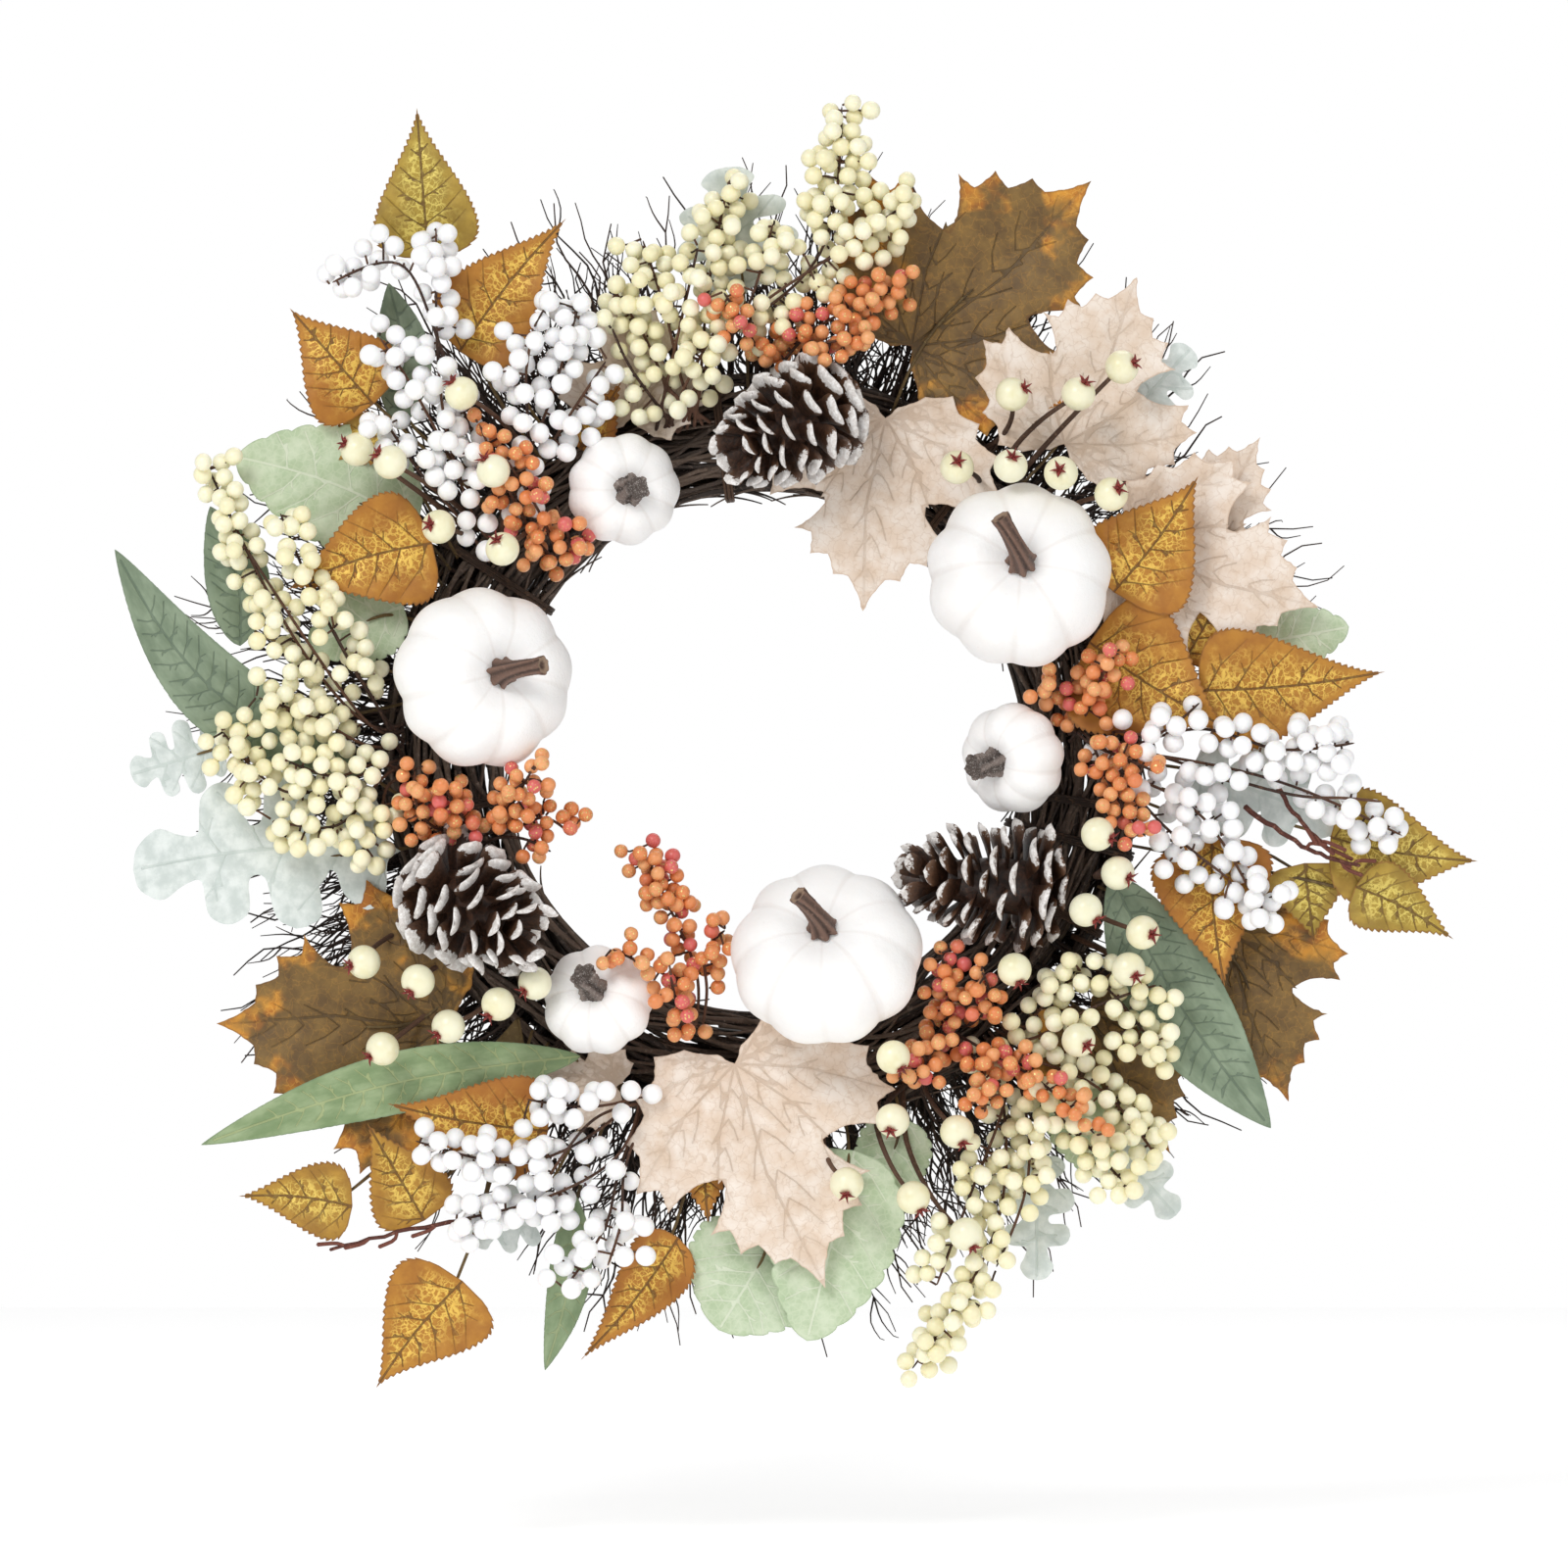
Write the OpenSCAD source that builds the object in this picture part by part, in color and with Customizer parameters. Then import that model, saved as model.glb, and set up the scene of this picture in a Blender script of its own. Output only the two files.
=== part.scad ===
// Harvest door wreath: a bound vine ring on a wire frame, dressed with twig fans, foam pumpkins,
// pine cones, fabric leaves and wired berry sprays.  The front faces -Y and up is +Z.  The
// origin is the middle of the hanger bar, on which the hanging loop swings.
// Layout points are [across, up, depth]: across and up from the ring's centre, depth grows
// from the door toward the front.

/* [Frame] */
// Radius of the inner frame ring
frame_r_in = 126; // [122:1:128]
// Radius of the outer frame ring
frame_r_out = 158; // [154:1:162]
// Thickness of the frame wire
frame_wire = 3.2; // [2:0.1:4]
// Depth of the frame wires in front of the door
frame_depth = 5; // [4:0.5:6]
// Number of radial rungs
rung_count = 6; // [3:1:9]

/* [Hanger] */
// Height of the hanger bar above the ring's centre
bar_height = 152; // [146:1:153]
// Thickness of the hanger bar
bar_wire = 3; // [2:0.1:4]
// Half length of the hanger bar, between the lugs that hold it on the outer ring
bar_half = 17.5; // [16:0.5:19]
// Running clearance of the eyes on the bar, on the radius
eye_clearance = 0.08; // [0.02:0.01:0.1]
// Wall of each eye
eye_wall = 1.7; // [1:0.1:2]
// Width of each eye along the bar
eye_width = 2.6; // [1.5:0.1:4]
// Distance of each eye from the middle
eye_offset = 10; // [7:0.5:14]
// Length of the loop's straight legs
leg_length = 12; // [8:1:16]
// Thickness of the loop's wire
loop_wire = 2.2; // [1.6:0.1:2.4]

/* [Vine ring] */
// Thickness of one vine strand
strand = 8; // [6:0.5:9]
// Distance between neighbouring strands across the ring
strand_pitch = 12; // [11:0.5:14]
// Radius of the innermost strand
strand_r_min = 118; // [114:1:120]
// Strands in each row
strand_count = 5; // [3:1:6]
// Depth of the back row
row_depth = 14; // [12:0.5:16]
// Distance between rows
row_pitch = 11; // [10:0.5:12]
// Width of one binding band
band_width = 3; // [1:0.5:5]
// Thickness of one binding band
band_thick = 0.9; // [0.5:0.1:1.5]

/* [Twigs] */
// Twigs in each fan
twigs_per_fan = 19; // [8:1:22]
// Angle between neighbouring twigs
twig_step = 2.25; // [2:0.05:3]
// Thickness of a twig where it enters the ring
twig_thick = 2; // [1.4:0.1:2.2]
// Thickness of a twig's tip
twig_tip = 0.9; // [0.6:0.1:1.2]

/* [Leaves] */
// Thickness of the leaf fabric
leaf_thick = 0.8; // [0.4:0.1:1.2]
// Thickness of the wire behind a leaf
leaf_wire = 1.6; // [1:0.1:2]

/* [Berries] */
// Diameter of a white berry
white_d = 9; // [8:0.5:10]
// Diameter of a cream berry
cream_d = 8; // [7:0.5:9]
// Diameter of an orange berry
orange_d = 6.6; // [6:0.1:7.5]
// Diameter of a rosehip
hip_d = 15; // [14:0.5:16]
// Thickness of a berry stem at its foot
stem_thick = 1.8; // [1.2:0.1:2]

/* [Hidden] */
// Radii and depths of the gaps the stems are pushed into
gap_r_min = strand_r_min + strand_pitch / 2;
gap_r_max = gap_r_min + strand_pitch * (strand_count - 2);
foot_depth = row_depth + 2 * row_pitch - 3;
lift_depth = row_depth + 2 * row_pitch + 10;
front_dir = [0, -1, 0];
golden = 137.5;

// Fan directions, seen from the front, anticlockwise from the right
fan_angles = [31, 75, 124, 168, 213, 262, 309];
// Binding bands, in the gaps between the fans
band_angles = [-28.5, -16, -9, 53, 97.3, 146.4, 190.4, 235, 285.5];

// Foam pumpkins: centre, radius, half height, direction the stem points
pumpkins = [
    [[-122, 32, 86], 41, 33, [0.42, 0.10, 1]],
    [[112, 77, 86], 42, 33, [0.02, 0.24, 1]],
    [[28, -89, 87], 43, 33, [-0.10, 0.62, 1]],
    [[-61, 115, 71], 25.5, 20, [0.22, -0.05, 1]],
    [[110, -3, 71], 25, 20, [-0.80, -0.18, 1]],
    [[-72, -109, 71], 25.5, 20, [-0.18, 0.42, 1]]
];
// Pine cones: centre, radius, half length, direction of the tip
cones = [
    [[12, 141, 82], 28, 30, [-0.80, -0.45, 0.75]],
    [[-127, -70, 82], 29, 32, [0.75, -0.35, 0.75]],
    [[100, -57, 75], 28, 34, [-1, 0.12, 0.20]]
];

// Leaves: base, tip, width and the turn of the wire's foot along the ring, degrees
gold_top = [
    [[-147, 217, 54], [-152, 283, 60], 41, 0],
    [[-133, 176, 58], [-86, 234, 66], 42, 0],
    [[-172, 154, 57], [-207, 194, 61], 38, 0],
    [[-80, 133, 54], [-62, 163, 57], 22, 0],
    [[-165, 140, 52], [-204, 132, 50], 22, 7.8],
    [[-150, 90, 64], [-205, 72, 70], 42, 3.5]
];
gold_right = [
    [[157, 74, 66], [189, 118, 74], 41, 0],
    [[147, 46, 62], [203, 11, 68], 50, 0],
    [[187, 42, 54], [209, 80, 55], 26, 3],
    [[194, 27, 60], [272, 35, 62], 46, 0],
    [[252, -38, 53], [314, -48, 54], 41, 4.5],
    [[239, -50, 50], [243, -83, 48], 30, 5.3],
    [[262, -60, 57], [303, -82, 59], 29, -1.5],
    [[198, -42, 57], [203, -101, 60], 42, 0]
];
gold_bottom = [
    [[-132, -233, 53], [-170, -280, 56], 45, -10],
    [[-182, -200, 50], [-230, -196, 48], 27, 0],
    [[-150, -204, 54], [-173, -165, 56], 31, 0],
    [[-98, -166, 60], [-162, -155, 63], 38, -12],
    [[-37, -214, 50], [-80, -268, 52], 27, 0],
    [[-27, -171, 53], [-24, -206, 55], 26, 0]
];
brown_maples = [
    [[70, 183, 50], [142, 249, 56], 112, 0],
    [[-146, -122, 48], [-238, -120, 52], 116, -4.3],
    [[147, -119, 50], [178, -174, 54], 66, 0],
    [[207, -83, 48], [231, -151, 52], 78, 0]
];
beige_top = [
    [[53, 137, 50], [45, 69, 56], 78, 0],
    [[134, 138, 53], [164, 207, 59], 92, 0],
    [[-58, 150, 48], [-56, 203, 50], 52, 0]
];
beige_right = [
    [[166, 90, 57], [243, 64, 60], 92, 0],
    [[188, 90, 52], [217, 135, 53], 50, -3.5]
];
beige_bottom = [
    [[-11, -140, 57], [27, -234, 63], 114, 0],
    [[-68, -147, 47], [-98, -141, 46.5], 32, 0]
];
long_leaves = [
    [[-175, -10, 50], [-285, 89, 58], 30, 4],
    [[156, -58, 54], [222, -163, 61], 45, 0],
    [[-80, -134, 57], [-247, -173, 61], 25, 0],
    [[-231, 50, 50], [-243, 106, 50], 22, 0],
    [[-83, -195, 48], [-96, -273, 47], 15, 0],
    [[-160, 143, 48], [-165, 207, 46], 19, -3.2]
];
scalloped_leaves = [
    [[-152, 100, 54], [-232, 130, 58], 46, 3],
    [[5, -216, 50], [-18, -253, 52], 47, 0],
    [[40, -178, 58], [20, -258, 60], 43, 0],
    [[209, 46, 50], [258, 55, 50], 30, 0],
    [[-164, 62, 58], [-196, 48, 60], 26, 0],
    [[134, -147, 57], [149, -186, 59], 26, 4],
    [[62, -164, 52], [50, -199, 54], 26, 0.6]
];
frosted_leaves = [
    [[-163, -44, 52], [-275, -52, 57], 62, 0],
    [[-8, 205, 48], [-16, 256, 50], 34, 0],
    [[121, -178, 50], [121, -231, 52], 24, 0],
    [[149, -167, 53], [181, -203, 54], 22, 7],
    [[186, -6, 54], [255, -31, 57], 36, 0],
    [[-236, 3, 48], [-279, -10, 48], 26, -7],
    [[160, 146, 50], [188, 177, 50], 26, 0],
    [[-97, -200, 47], [-125, -214, 47], 20, 0]
];

// Berry sprays: foot angle, foot radius, then arms of three points
white_top = [141.5, 148, [
    [[-122, 92, 66], [-141, 149, 80], [-143, 233, 74]],
    [[-142, 180, 80], [-158, 216, 78], [-190, 205, 72]],
    [[-132, 120, 72], [-152, 158, 78], [-168, 182, 74]],
    [[-112, 110, 70], [-94, 149, 80], [-79, 201, 76]],
    [[-102, 130, 74], [-104, 160, 84], [-100, 186, 86]],
    [[-98, 126, 68], [-84, 148, 76], [-68, 172, 74]],
    [[-134, 104, 70], [-150, 122, 76], [-166, 146, 74]]
]];
white_right = [0, 148, [
    [[152, 10, 70], [172, 6, 80], [192, 22, 82]],
    [[190, 12, 80], [224, 0, 82], [261, 4, 76]],
    [[162, 0, 72], [226, -12, 76], [283, -38, 70]],
    [[158, -10, 72], [194, -27, 76], [224, -81, 72]],
    [[166, -22, 74], [184, -40, 78], [205, -56, 76]],
    [[224, -18, 78], [252, -20, 80], [272, -22, 76]]
]];
white_bottom = [251, 160, [
    [[-56, -152, 66], [-76, -156, 78], [-104, -152, 82]],
    [[-66, -162, 70], [-104, -182, 78], [-154, -170, 74]],
    [[-62, -178, 70], [-98, -197, 76], [-137, -206, 72]],
    [[-64, -186, 68], [-68, -208, 72], [-87, -236, 70]],
    [[-61, -182, 70], [-61, -204, 78], [-68, -226, 76]],
    [[-70, -158, 72], [-84, -172, 82], [-96, -190, 80]]
]];
cream_top = [104, 148, [
    [[-42, 160, 60], [-50, 180, 66], [-68, 207, 64]],
    [[-36, 164, 62], [-42, 192, 68], [-53, 226, 64]],
    [[-27, 166, 62], [-24, 204, 68], [-15, 250, 62]],
    [[-20, 180, 64], [28, 216, 70], [35, 287, 60]],
    [[-14, 186, 66], [26, 214, 74], [68, 244, 66]],
    [[-52, 160, 64], [-60, 172, 70], [-66, 186, 72]],
    [[-36, 156, 66], [-30, 168, 74], [-22, 182, 78]],
    [[-16, 178, 68], [-4, 200, 74], [5, 233, 68]],
    [[-40, 170, 66], [-34, 196, 74], [-28, 222, 72]]
]];
cream_left = [180, 160, [
    [[-176, 12, 62], [-210, 56, 72], [-245, 128, 64]],
    [[-172, 10, 64], [-198, 46, 74], [-227, 90, 70]],
    [[-176, 30, 66], [-196, 68, 76], [-212, 106, 72]],
    [[-174, 2, 64], [-194, 14, 74], [-222, 24, 72]],
    [[-170, 22, 66], [-180, 38, 76], [-188, 54, 80]],
    [[-176, -10, 62], [-210, -20, 70], [-238, 10, 66]],
    [[-170, -14, 64], [-186, -34, 70], [-216, -30, 68]],
    [[-170, -4, 66], [-186, -12, 78], [-208, -4, 80]],
    [[-166, -16, 64], [-170, -40, 70], [-186, -46, 70]]
]];
cream_bottom = [309, 160, [
    [[106, -150, 60], [104, -212, 68], [64, -274, 60]],
    [[110, -144, 62], [92, -192, 70], [76, -236, 66]],
    [[112, -140, 64], [118, -186, 72], [102, -228, 66]],
    [[112, -134, 62], [148, -146, 68], [176, -182, 64]],
    [[114, -124, 64], [142, -94, 72], [178, -138, 66]],
    [[116, -128, 66], [144, -112, 76], [174, -102, 72]],
    [[112, -138, 66], [132, -162, 76], [160, -190, 72]]
]];
orange_arms = [
    [89, 160, [
        [[-4, 180, 72], [-10, 190, 82], [-17, 201, 84]],
        [[14, 178, 68], [34, 192, 76], [66, 206, 72]],
        [[20, 176, 72], [34, 180, 82], [48, 180, 84]]
    ]],
    [137, 124, [
        [[-96, 88, 70], [-112, 116, 84], [-124, 144, 86]],
        [[-92, 92, 72], [-98, 106, 86], [-112, 128, 92]],
        [[-88, 86, 70], [-84, 92, 80], [-90, 108, 90]]
    ]],
    [197, 136, [
        [[-144, -34, 70], [-152, -22, 80], [-152, -8, 82]],
        [[-128, -34, 72], [-134, -24, 84], [-141, -12, 90]],
        [[-116, -34, 70], [-110, -24, 84], [-100, -8, 102]],
        [[-112, -36, 68], [-96, -28, 76], [-84, -36, 78]],
        [[-118, -38, 70], [-104, -38, 80], [-92, -44, 86]]
    ]],
    [257, 124, [
        [[-34, -104, 66], [-46, -96, 78], [-66, -86, 92]],
        [[-28, -98, 64], [-40, -70, 72], [-53, -42, 70]],
        [[-24, -104, 66], [-26, -88, 70], [-16, -78, 74]],
        [[-34, -118, 68], [-38, -108, 80], [-40, -98, 88]]
    ]],
    [303, 148, [
        [[82, -116, 66], [82, -104, 76], [78, -88, 82]],
        [[76, -126, 68], [72, -136, 80], [66, -146, 86]],
        [[90, -130, 70], [98, -144, 82], [97, -158, 90]],
        [[92, -128, 70], [122, -144, 84], [146, -168, 84]],
        [[92, -120, 70], [100, -108, 80], [96, -96, 88]]
    ]],
    [4, 136, [
        [[140, 14, 66], [132, 28, 70], [120, 26, 74]],
        [[142, 16, 70], [148, 32, 82], [154, 44, 86]],
        [[144, 6, 70], [152, -16, 86], [168, -38, 88]],
        [[142, 4, 74], [156, -2, 88], [174, -10, 92]]
    ]]
];

// Rosehips: centre and the turn of the wire's foot along the ring, degrees
hips = [
    [[109, 156, 86], 0], [[138, 156, 88], 0], [[157, 168, 84], 0], [[85, 124, 90], -4],
    [[108, 124, 103], 0], [[130, 121, 102], 0], [[152, 112, 95], 0],
    [[-131, 156, 94], 0], [[-177, 132, 84], 0], [[-162, 126, 94], 0], [[-117, 122, 98], 0],
    [[-141, 98, 92], 0], [[-113, 88, 100], -7],
    [[-174, -92, 84], 0], [[-150, -100, 94], 0], [[-99, -101, 92], 0], [[-115, -110, 94], 0],
    [[-137, -120, 86], 0], [[-166, -130, 80], 0],
    [[146, -36, 96], 0], [[155, -53, 90], 0], [[141, -69, 92], 0], [[166, -79, 88], 0],
    [[160, -95, 84], 0], [[110, -95, 92], 0], [[138, -126, 88], 0],
    [[57, -133, 98], 0], [[57, -161, 86], 4.5], [[85, -166, 84], 0], [[37, -189, 82], 0],
    [[66, -195, 80], 0], [[89, -211, 80], 0]
];

// ---- points and directions ----
function at(p) = [p[0], -p[2], p[1]];
function unit(v) = v / norm(v);
function mix(a, b, t) = a + (b - a) * t;
function wave(i, n) = ((i * 7 + n * 3) % 11) / 11;
function on_ring(a, r, d) = at([r * cos(a), r * sin(a), d]);
function side_of(t) = unit(cross(t, abs(t[0]) > 0.9 ? [0, 0, 1] : [1, 0, 0]));
function angle_of(p) = atan2(p[1], p[0]);
function reach_of(p) = norm([p[0], p[1]]);
function gap_near(r) = min(gap_r_max, max(gap_r_min,
    gap_r_min + strand_pitch * round((r - gap_r_min) / strand_pitch)));

// ---- smooth lines through points ----
function spline_at(a, b, c, d, t) =
    0.5 * (2 * b + (c - a) * t + (2 * a - 5 * b + 4 * c - d) * t * t
    + (3 * b - a - 3 * c + d) * t * t * t);
function smooth(p, n) = let (e = len(p) - 1) [
    for (i = [0 : e - 1], k = [0 : n - 1])
        spline_at(i > 0 ? p[i - 1] : 2 * p[0] - p[1], p[i], p[i + 1],
            i + 2 <= e ? p[i + 2] : 2 * p[e] - p[e - 1], k / n),
    p[e]];
function run_of(q) = [for (i = 0, s = 0; i < len(q);
    i = i + 1, s = i < len(q) ? s + norm(q[i] - q[i - 1]) : s) s];
function along(q, run, s) = [for (k = [0 : 2])
    lookup(s, [for (i = [0 : len(q) - 1]) [run[i], q[i][k]]])];
function tangent(q, i) = unit(q[min(i + 1, len(q) - 1)] - q[max(i - 1, 0)]);
function sides(q) = [for (i = 0, u = side_of(tangent(q, 0)); i < len(q);
    i = i + 1, u = i < len(q) ? unit(u - (u * tangent(q, i)) * tangent(q, i)) : u) u];

// ---- a round wire along a line, tapering from r0 to r1 ----
module wire(q, r0, r1) {
    m = 4;
    n = len(q);
    u = sides(q);
    points = [for (i = [0 : n - 1], k = [0 : m - 1])
        let (r = mix(r0, r1, i / (n - 1)), v = cross(tangent(q, i), u[i]))
        q[i] + r * (cos(360 * k / m) * u[i] + sin(360 * k / m) * v)];
    skin = [for (i = [0 : n - 2], k = [0 : m - 1])
        let (a = i * m + k, b = i * m + (k + 1) % m) each [[a, b, b + m], [a, b + m, a + m]]];
    foot = [for (k = [m - 1 : -1 : 0]) k];
    tip = [for (k = [0 : m - 1]) (n - 1) * m + k];
    polyhedron(points, [for (f = concat(skin, [foot, tip])) [for (k = [len(f) - 1 : -1 : 0]) f[k]]]);
}

// ---- exact straight rod between two points, tapering from r0 to r1 ----
module rod(a, b, r0, r1) {
    t = b - a;
    translate(a)
        rotate([0, acos(t[2] / norm(t)), atan2(t[1], t[0])])
            cylinder(h = norm(t), r1 = r0, r2 = r1);
}

// ---- wire frame, hanger and ring ----
module wire_frame() {
    color([0.16, 0.15, 0.14]) {
        for (r = [frame_r_in, frame_r_out])
            translate(at([0, 0, frame_depth]))
                rotate([90, 0, 0])
                    rotate([0, 0, 90])
                        rotate_extrude()
                            translate([r, 0])
                                circle(d = frame_wire);
        for (i = [0 : rung_count - 1])
            rotate([0, -360 * i / rung_count, 0])
                translate([frame_r_in - 1.2, -frame_depth - 0.9 * frame_wire, -1.3])
                    cube([frame_r_out - frame_r_in + 2.4, 0.65 * frame_wire, 2.6]);
        rod(at([-bar_half, bar_height, frame_depth]), at([bar_half, bar_height, frame_depth]),
            bar_wire / 2, bar_wire / 2);
        for (side = [-1, 1])
            translate(at([side * bar_half, bar_height + 1.75, frame_depth]))
                cube([3, 4, 7.7], center = true);
    }
}

module hanging_loop() {
    bore = bar_wire / 2 + eye_clearance;
    leg_front = bore + eye_wall / 2 + 0.5;
    color([0.20, 0.18, 0.16])
        translate(at([0, bar_height, frame_depth])) {
            for (side = [-1, 1])
                difference() {
                    union() {
                        translate([side * eye_offset - eye_width / 2, 0, 0])
                            rotate([0, 90, 0])
                                cylinder(h = eye_width, r = bore + eye_wall);
                        translate([side * eye_offset, -leg_front, -leg_length])
                            cylinder(h = leg_length, d = loop_wire);
                    }
                    translate([side * eye_offset - eye_width, 0, 0])
                        rotate([0, 90, 0])
                            cylinder(h = 2 * eye_width, r = bore);
                }
            translate([0, -leg_front, -leg_length])
                rotate([90, 0, 0])
                    rotate([0, 0, 180])
                        rotate_extrude(angle = 180)
                            translate([eye_offset, 0])
                                circle(d = loop_wire);
        }
}

// Strands lie in rows; a cross winding under each binding band ties them into one bundle
module vine_ring() {
    color([0.30, 0.24, 0.18])
        for (row = [0 : 2], k = [0 : strand_count - 1])
            translate(at([0, 0, row_depth + row * row_pitch]))
                rotate([90, 0, 0])
                    rotate_extrude()
                        translate([strand_r_min + k * strand_pitch, 0])
                            circle(d = strand);
    color([0.30, 0.24, 0.18])
        for (a = band_angles)
            rotate([0, -a, 0])
                translate([strand_r_min + 1, -row_depth - 2 * row_pitch - 1, -band_width / 2])
                    cube([strand_pitch * (strand_count - 1) - 2, 2 * row_pitch + 2, band_width]);
}

function rounded_box(x0, y0, x1, y1, r) = [
    for (c = [[x1 - r, y1 - r, 0], [x0 + r, y1 - r, 90], [x0 + r, y0 + r, 180], [x1 - r, y0 + r, 270]],
        k = [0 : 4]) [c[0] + r * cos(c[2] + 22.5 * k), c[1] + r * sin(c[2] + 22.5 * k)]];

module binding_bands() {
    r0 = strand_r_min - strand / 2 - 2;
    r1 = strand_r_min + strand_pitch * (strand_count - 1) + strand / 2 + 1;
    d0 = 1.2;
    d1 = row_depth + 2 * row_pitch + strand / 2 + 1.2;
    color([0.24, 0.18, 0.13])
        for (a = band_angles)
            rotate([0, -a, 0])
                band(r0, d0, r1, d1);
}

module band(r0, d0, r1, d1) {
    translate([0, 0, -band_width / 2])
        mirror([0, 1, 0])
            linear_extrude(height = band_width)
                difference() {
                    polygon(rounded_box(r0, d0, r1, d1, 5));
                    polygon(rounded_box(r0 + band_thick, d0 + band_thick,
                        r1 - band_thick, d1 - band_thick, 4.2));
                }
}

// ---- twig fans: each twig lies flat in the gap between two rows of strands ----
module twig_fan(fan) {
    color([0.20, 0.14, 0.11])
        for (i = [0 : twigs_per_fan - 1])
            let (a = fan_angles[fan] + twig_step * (i - (twigs_per_fan - 1) / 2),
                d = row_depth + row_pitch * (0.5 + i % 2),
                reach = 218 + 58 * wave(i, fan),
                swing = -1.9 + 3.8 * wave(i + 3, fan))
                rod(on_ring(a, strand_r_min + 16, d), on_ring(a + swing, reach, d),
                    twig_thick / 2, twig_tip / 2);
}

// ---- pumpkins ----
function pumpkin_point(b, t, f) = let (
    w = unit(at(b[3])), u = side_of(w), v = cross(w, u),
    rib = 1 - 0.055 * pow(abs(cos(f * 5)), 3),
    r = b[1] * pow(sin(t), 0.86) * rib,
    h = b[2] * cos(t) - b[2] * 0.20 * sign(cos(t)) * exp(-pow(sin(t) / 0.34, 2)))
    at(b[0]) + r * (cos(f) * u + sin(f) * v) + h * w;

module pumpkin(b) {
    m = 40;
    n = 13;
    body = [for (i = [1 : n - 1], k = [0 : m - 1]) pumpkin_point(b, 180 * i / n, 360 * k / m)];
    w = unit(at(b[3]));
    top = at(b[0]) + w * b[2] * 0.80;
    end = at(b[0]) - w * b[2] * 0.80;
    skin = [for (i = [0 : n - 3], k = [0 : m - 1])
        let (p = i * m + k, q = i * m + (k + 1) % m) each [[p, q, q + m], [p, q + m, p + m]]];
    caps = [for (k = [0 : m - 1]) each [
        [k, (n - 1) * m, (k + 1) % m],
        [(n - 2) * m + k, (n - 2) * m + (k + 1) % m, (n - 1) * m + 1]]];
    color([0.95, 0.93, 0.90])
        polyhedron(concat(body, [top, end]), concat(skin, caps));
}

// A fluted stem: a flared foot sunk in the dimple and a bent shaft
module pumpkin_stem(b, length, r_foot, r_tip, bend) {
    m = 12;
    n = 6;
    w = unit(at(b[3]));
    foot = at(b[0]) + w * (b[2] * 0.80 - 3);
    path = [for (i = [0 : n - 1]) let (t = i / (n - 1)) foot + w * length * t + bend * t * t];
    u = sides(path);
    points = [for (i = [0 : n - 1], k = [0 : m - 1])
        let (t = i / (n - 1), v = cross(tangent(path, i), u[i]),
            flute = k % 2 == 0 ? 1.08 : 0.88,
            r = flute * (r_tip + (r_foot - r_tip) * pow(1 - t, 3)) * (t > 0.9 ? 1.12 : 1))
        path[i] + r * (cos(360 * k / m) * u[i] + sin(360 * k / m) * v)];
    skin = [for (i = [0 : n - 2], k = [0 : m - 1])
        let (p = i * m + k, q = i * m + (k + 1) % m) each [[p, q + m, q], [p, p + m, q + m]]];
    caps = [[for (k = [0 : m - 1]) k], [for (k = [m - 1 : -1 : 0]) (n - 1) * m + k]];
    color([0.42, 0.30, 0.20])
        polyhedron(points, concat(skin, caps));
}

// Where a pick leaves the ring: the gap nearest to the piece it carries
function pick_foot(p, d) = on_ring(angle_of(p), gap_near(reach_of(p)), d);

module pumpkin_picks() {
    color([0.62, 0.48, 0.32])
        for (b = pumpkins)
            rod(pick_foot(b[0], foot_depth), pick_foot(b[0], b[0][2] - b[2] * 0.25), 1.1, 1.1);
}

module cone_picks() {
    color([0.30, 0.26, 0.22])
        for (c = cones)
            rod(pick_foot(c[0], foot_depth), pick_foot(c[0], c[0][2] - 8), 0.9, 0.9);
}

// ---- pine cone: a core with spiral rows of scales ----
cone_scales = 54;
module pine_cone(c) {
    w = unit(at(c[3]));
    u = side_of(w);
    v = cross(w, u);
    color([0.30, 0.20, 0.13])
        multmatrix([[u[0], v[0], w[0], at(c[0])[0]], [u[1], v[1], w[1], at(c[0])[1]],
            [u[2], v[2], w[2], at(c[0])[2]], [0, 0, 0, 1]]) {
            rotate_extrude()
                polygon([[0, -c[2] * 0.86], [c[1] * 0.34, -c[2] * 0.74], [c[1] * 0.44, -c[2] * 0.3],
                    [c[1] * 0.36, c[2] * 0.3], [c[1] * 0.14, c[2] * 0.84], [0, c[2] * 0.9]]);
            for (i = [0 : cone_scales - 1])
                let (t = (i + 0.5) / cone_scales,
                    h = c[2] * (-0.72 + 1.42 * t),
                    reach = c[1] * (t < 0.3 ? 0.82 + 0.6 * t : 1.0 - 0.62 * pow(t - 0.3, 1.25)),
                    width = c[1] * (0.50 - 0.24 * t),
                    tilt = -22 + 62 * t)
                    rotate([0, 0, golden * i])
                        translate([0, 0, h])
                            rotate([0, -tilt, 0])
                                translate([0, 0, -0.9])
                                    linear_extrude(height = 1.8)
                                        polygon([[2, -width * 0.3], [reach * 0.8, -width / 2],
                                            [reach, -width * 0.22], [reach, width * 0.22],
                                            [reach * 0.8, width / 2], [2, width * 0.3]]);
        }
}

// ---- leaves ----
function leaf_normal(g) = let (v = unit(at(g[1]) - at(g[0])), u = unit(cross(v, front_dir)))
    cross(u, v);
function leaf_length(g) = norm(g[1] - g[0]);

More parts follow.
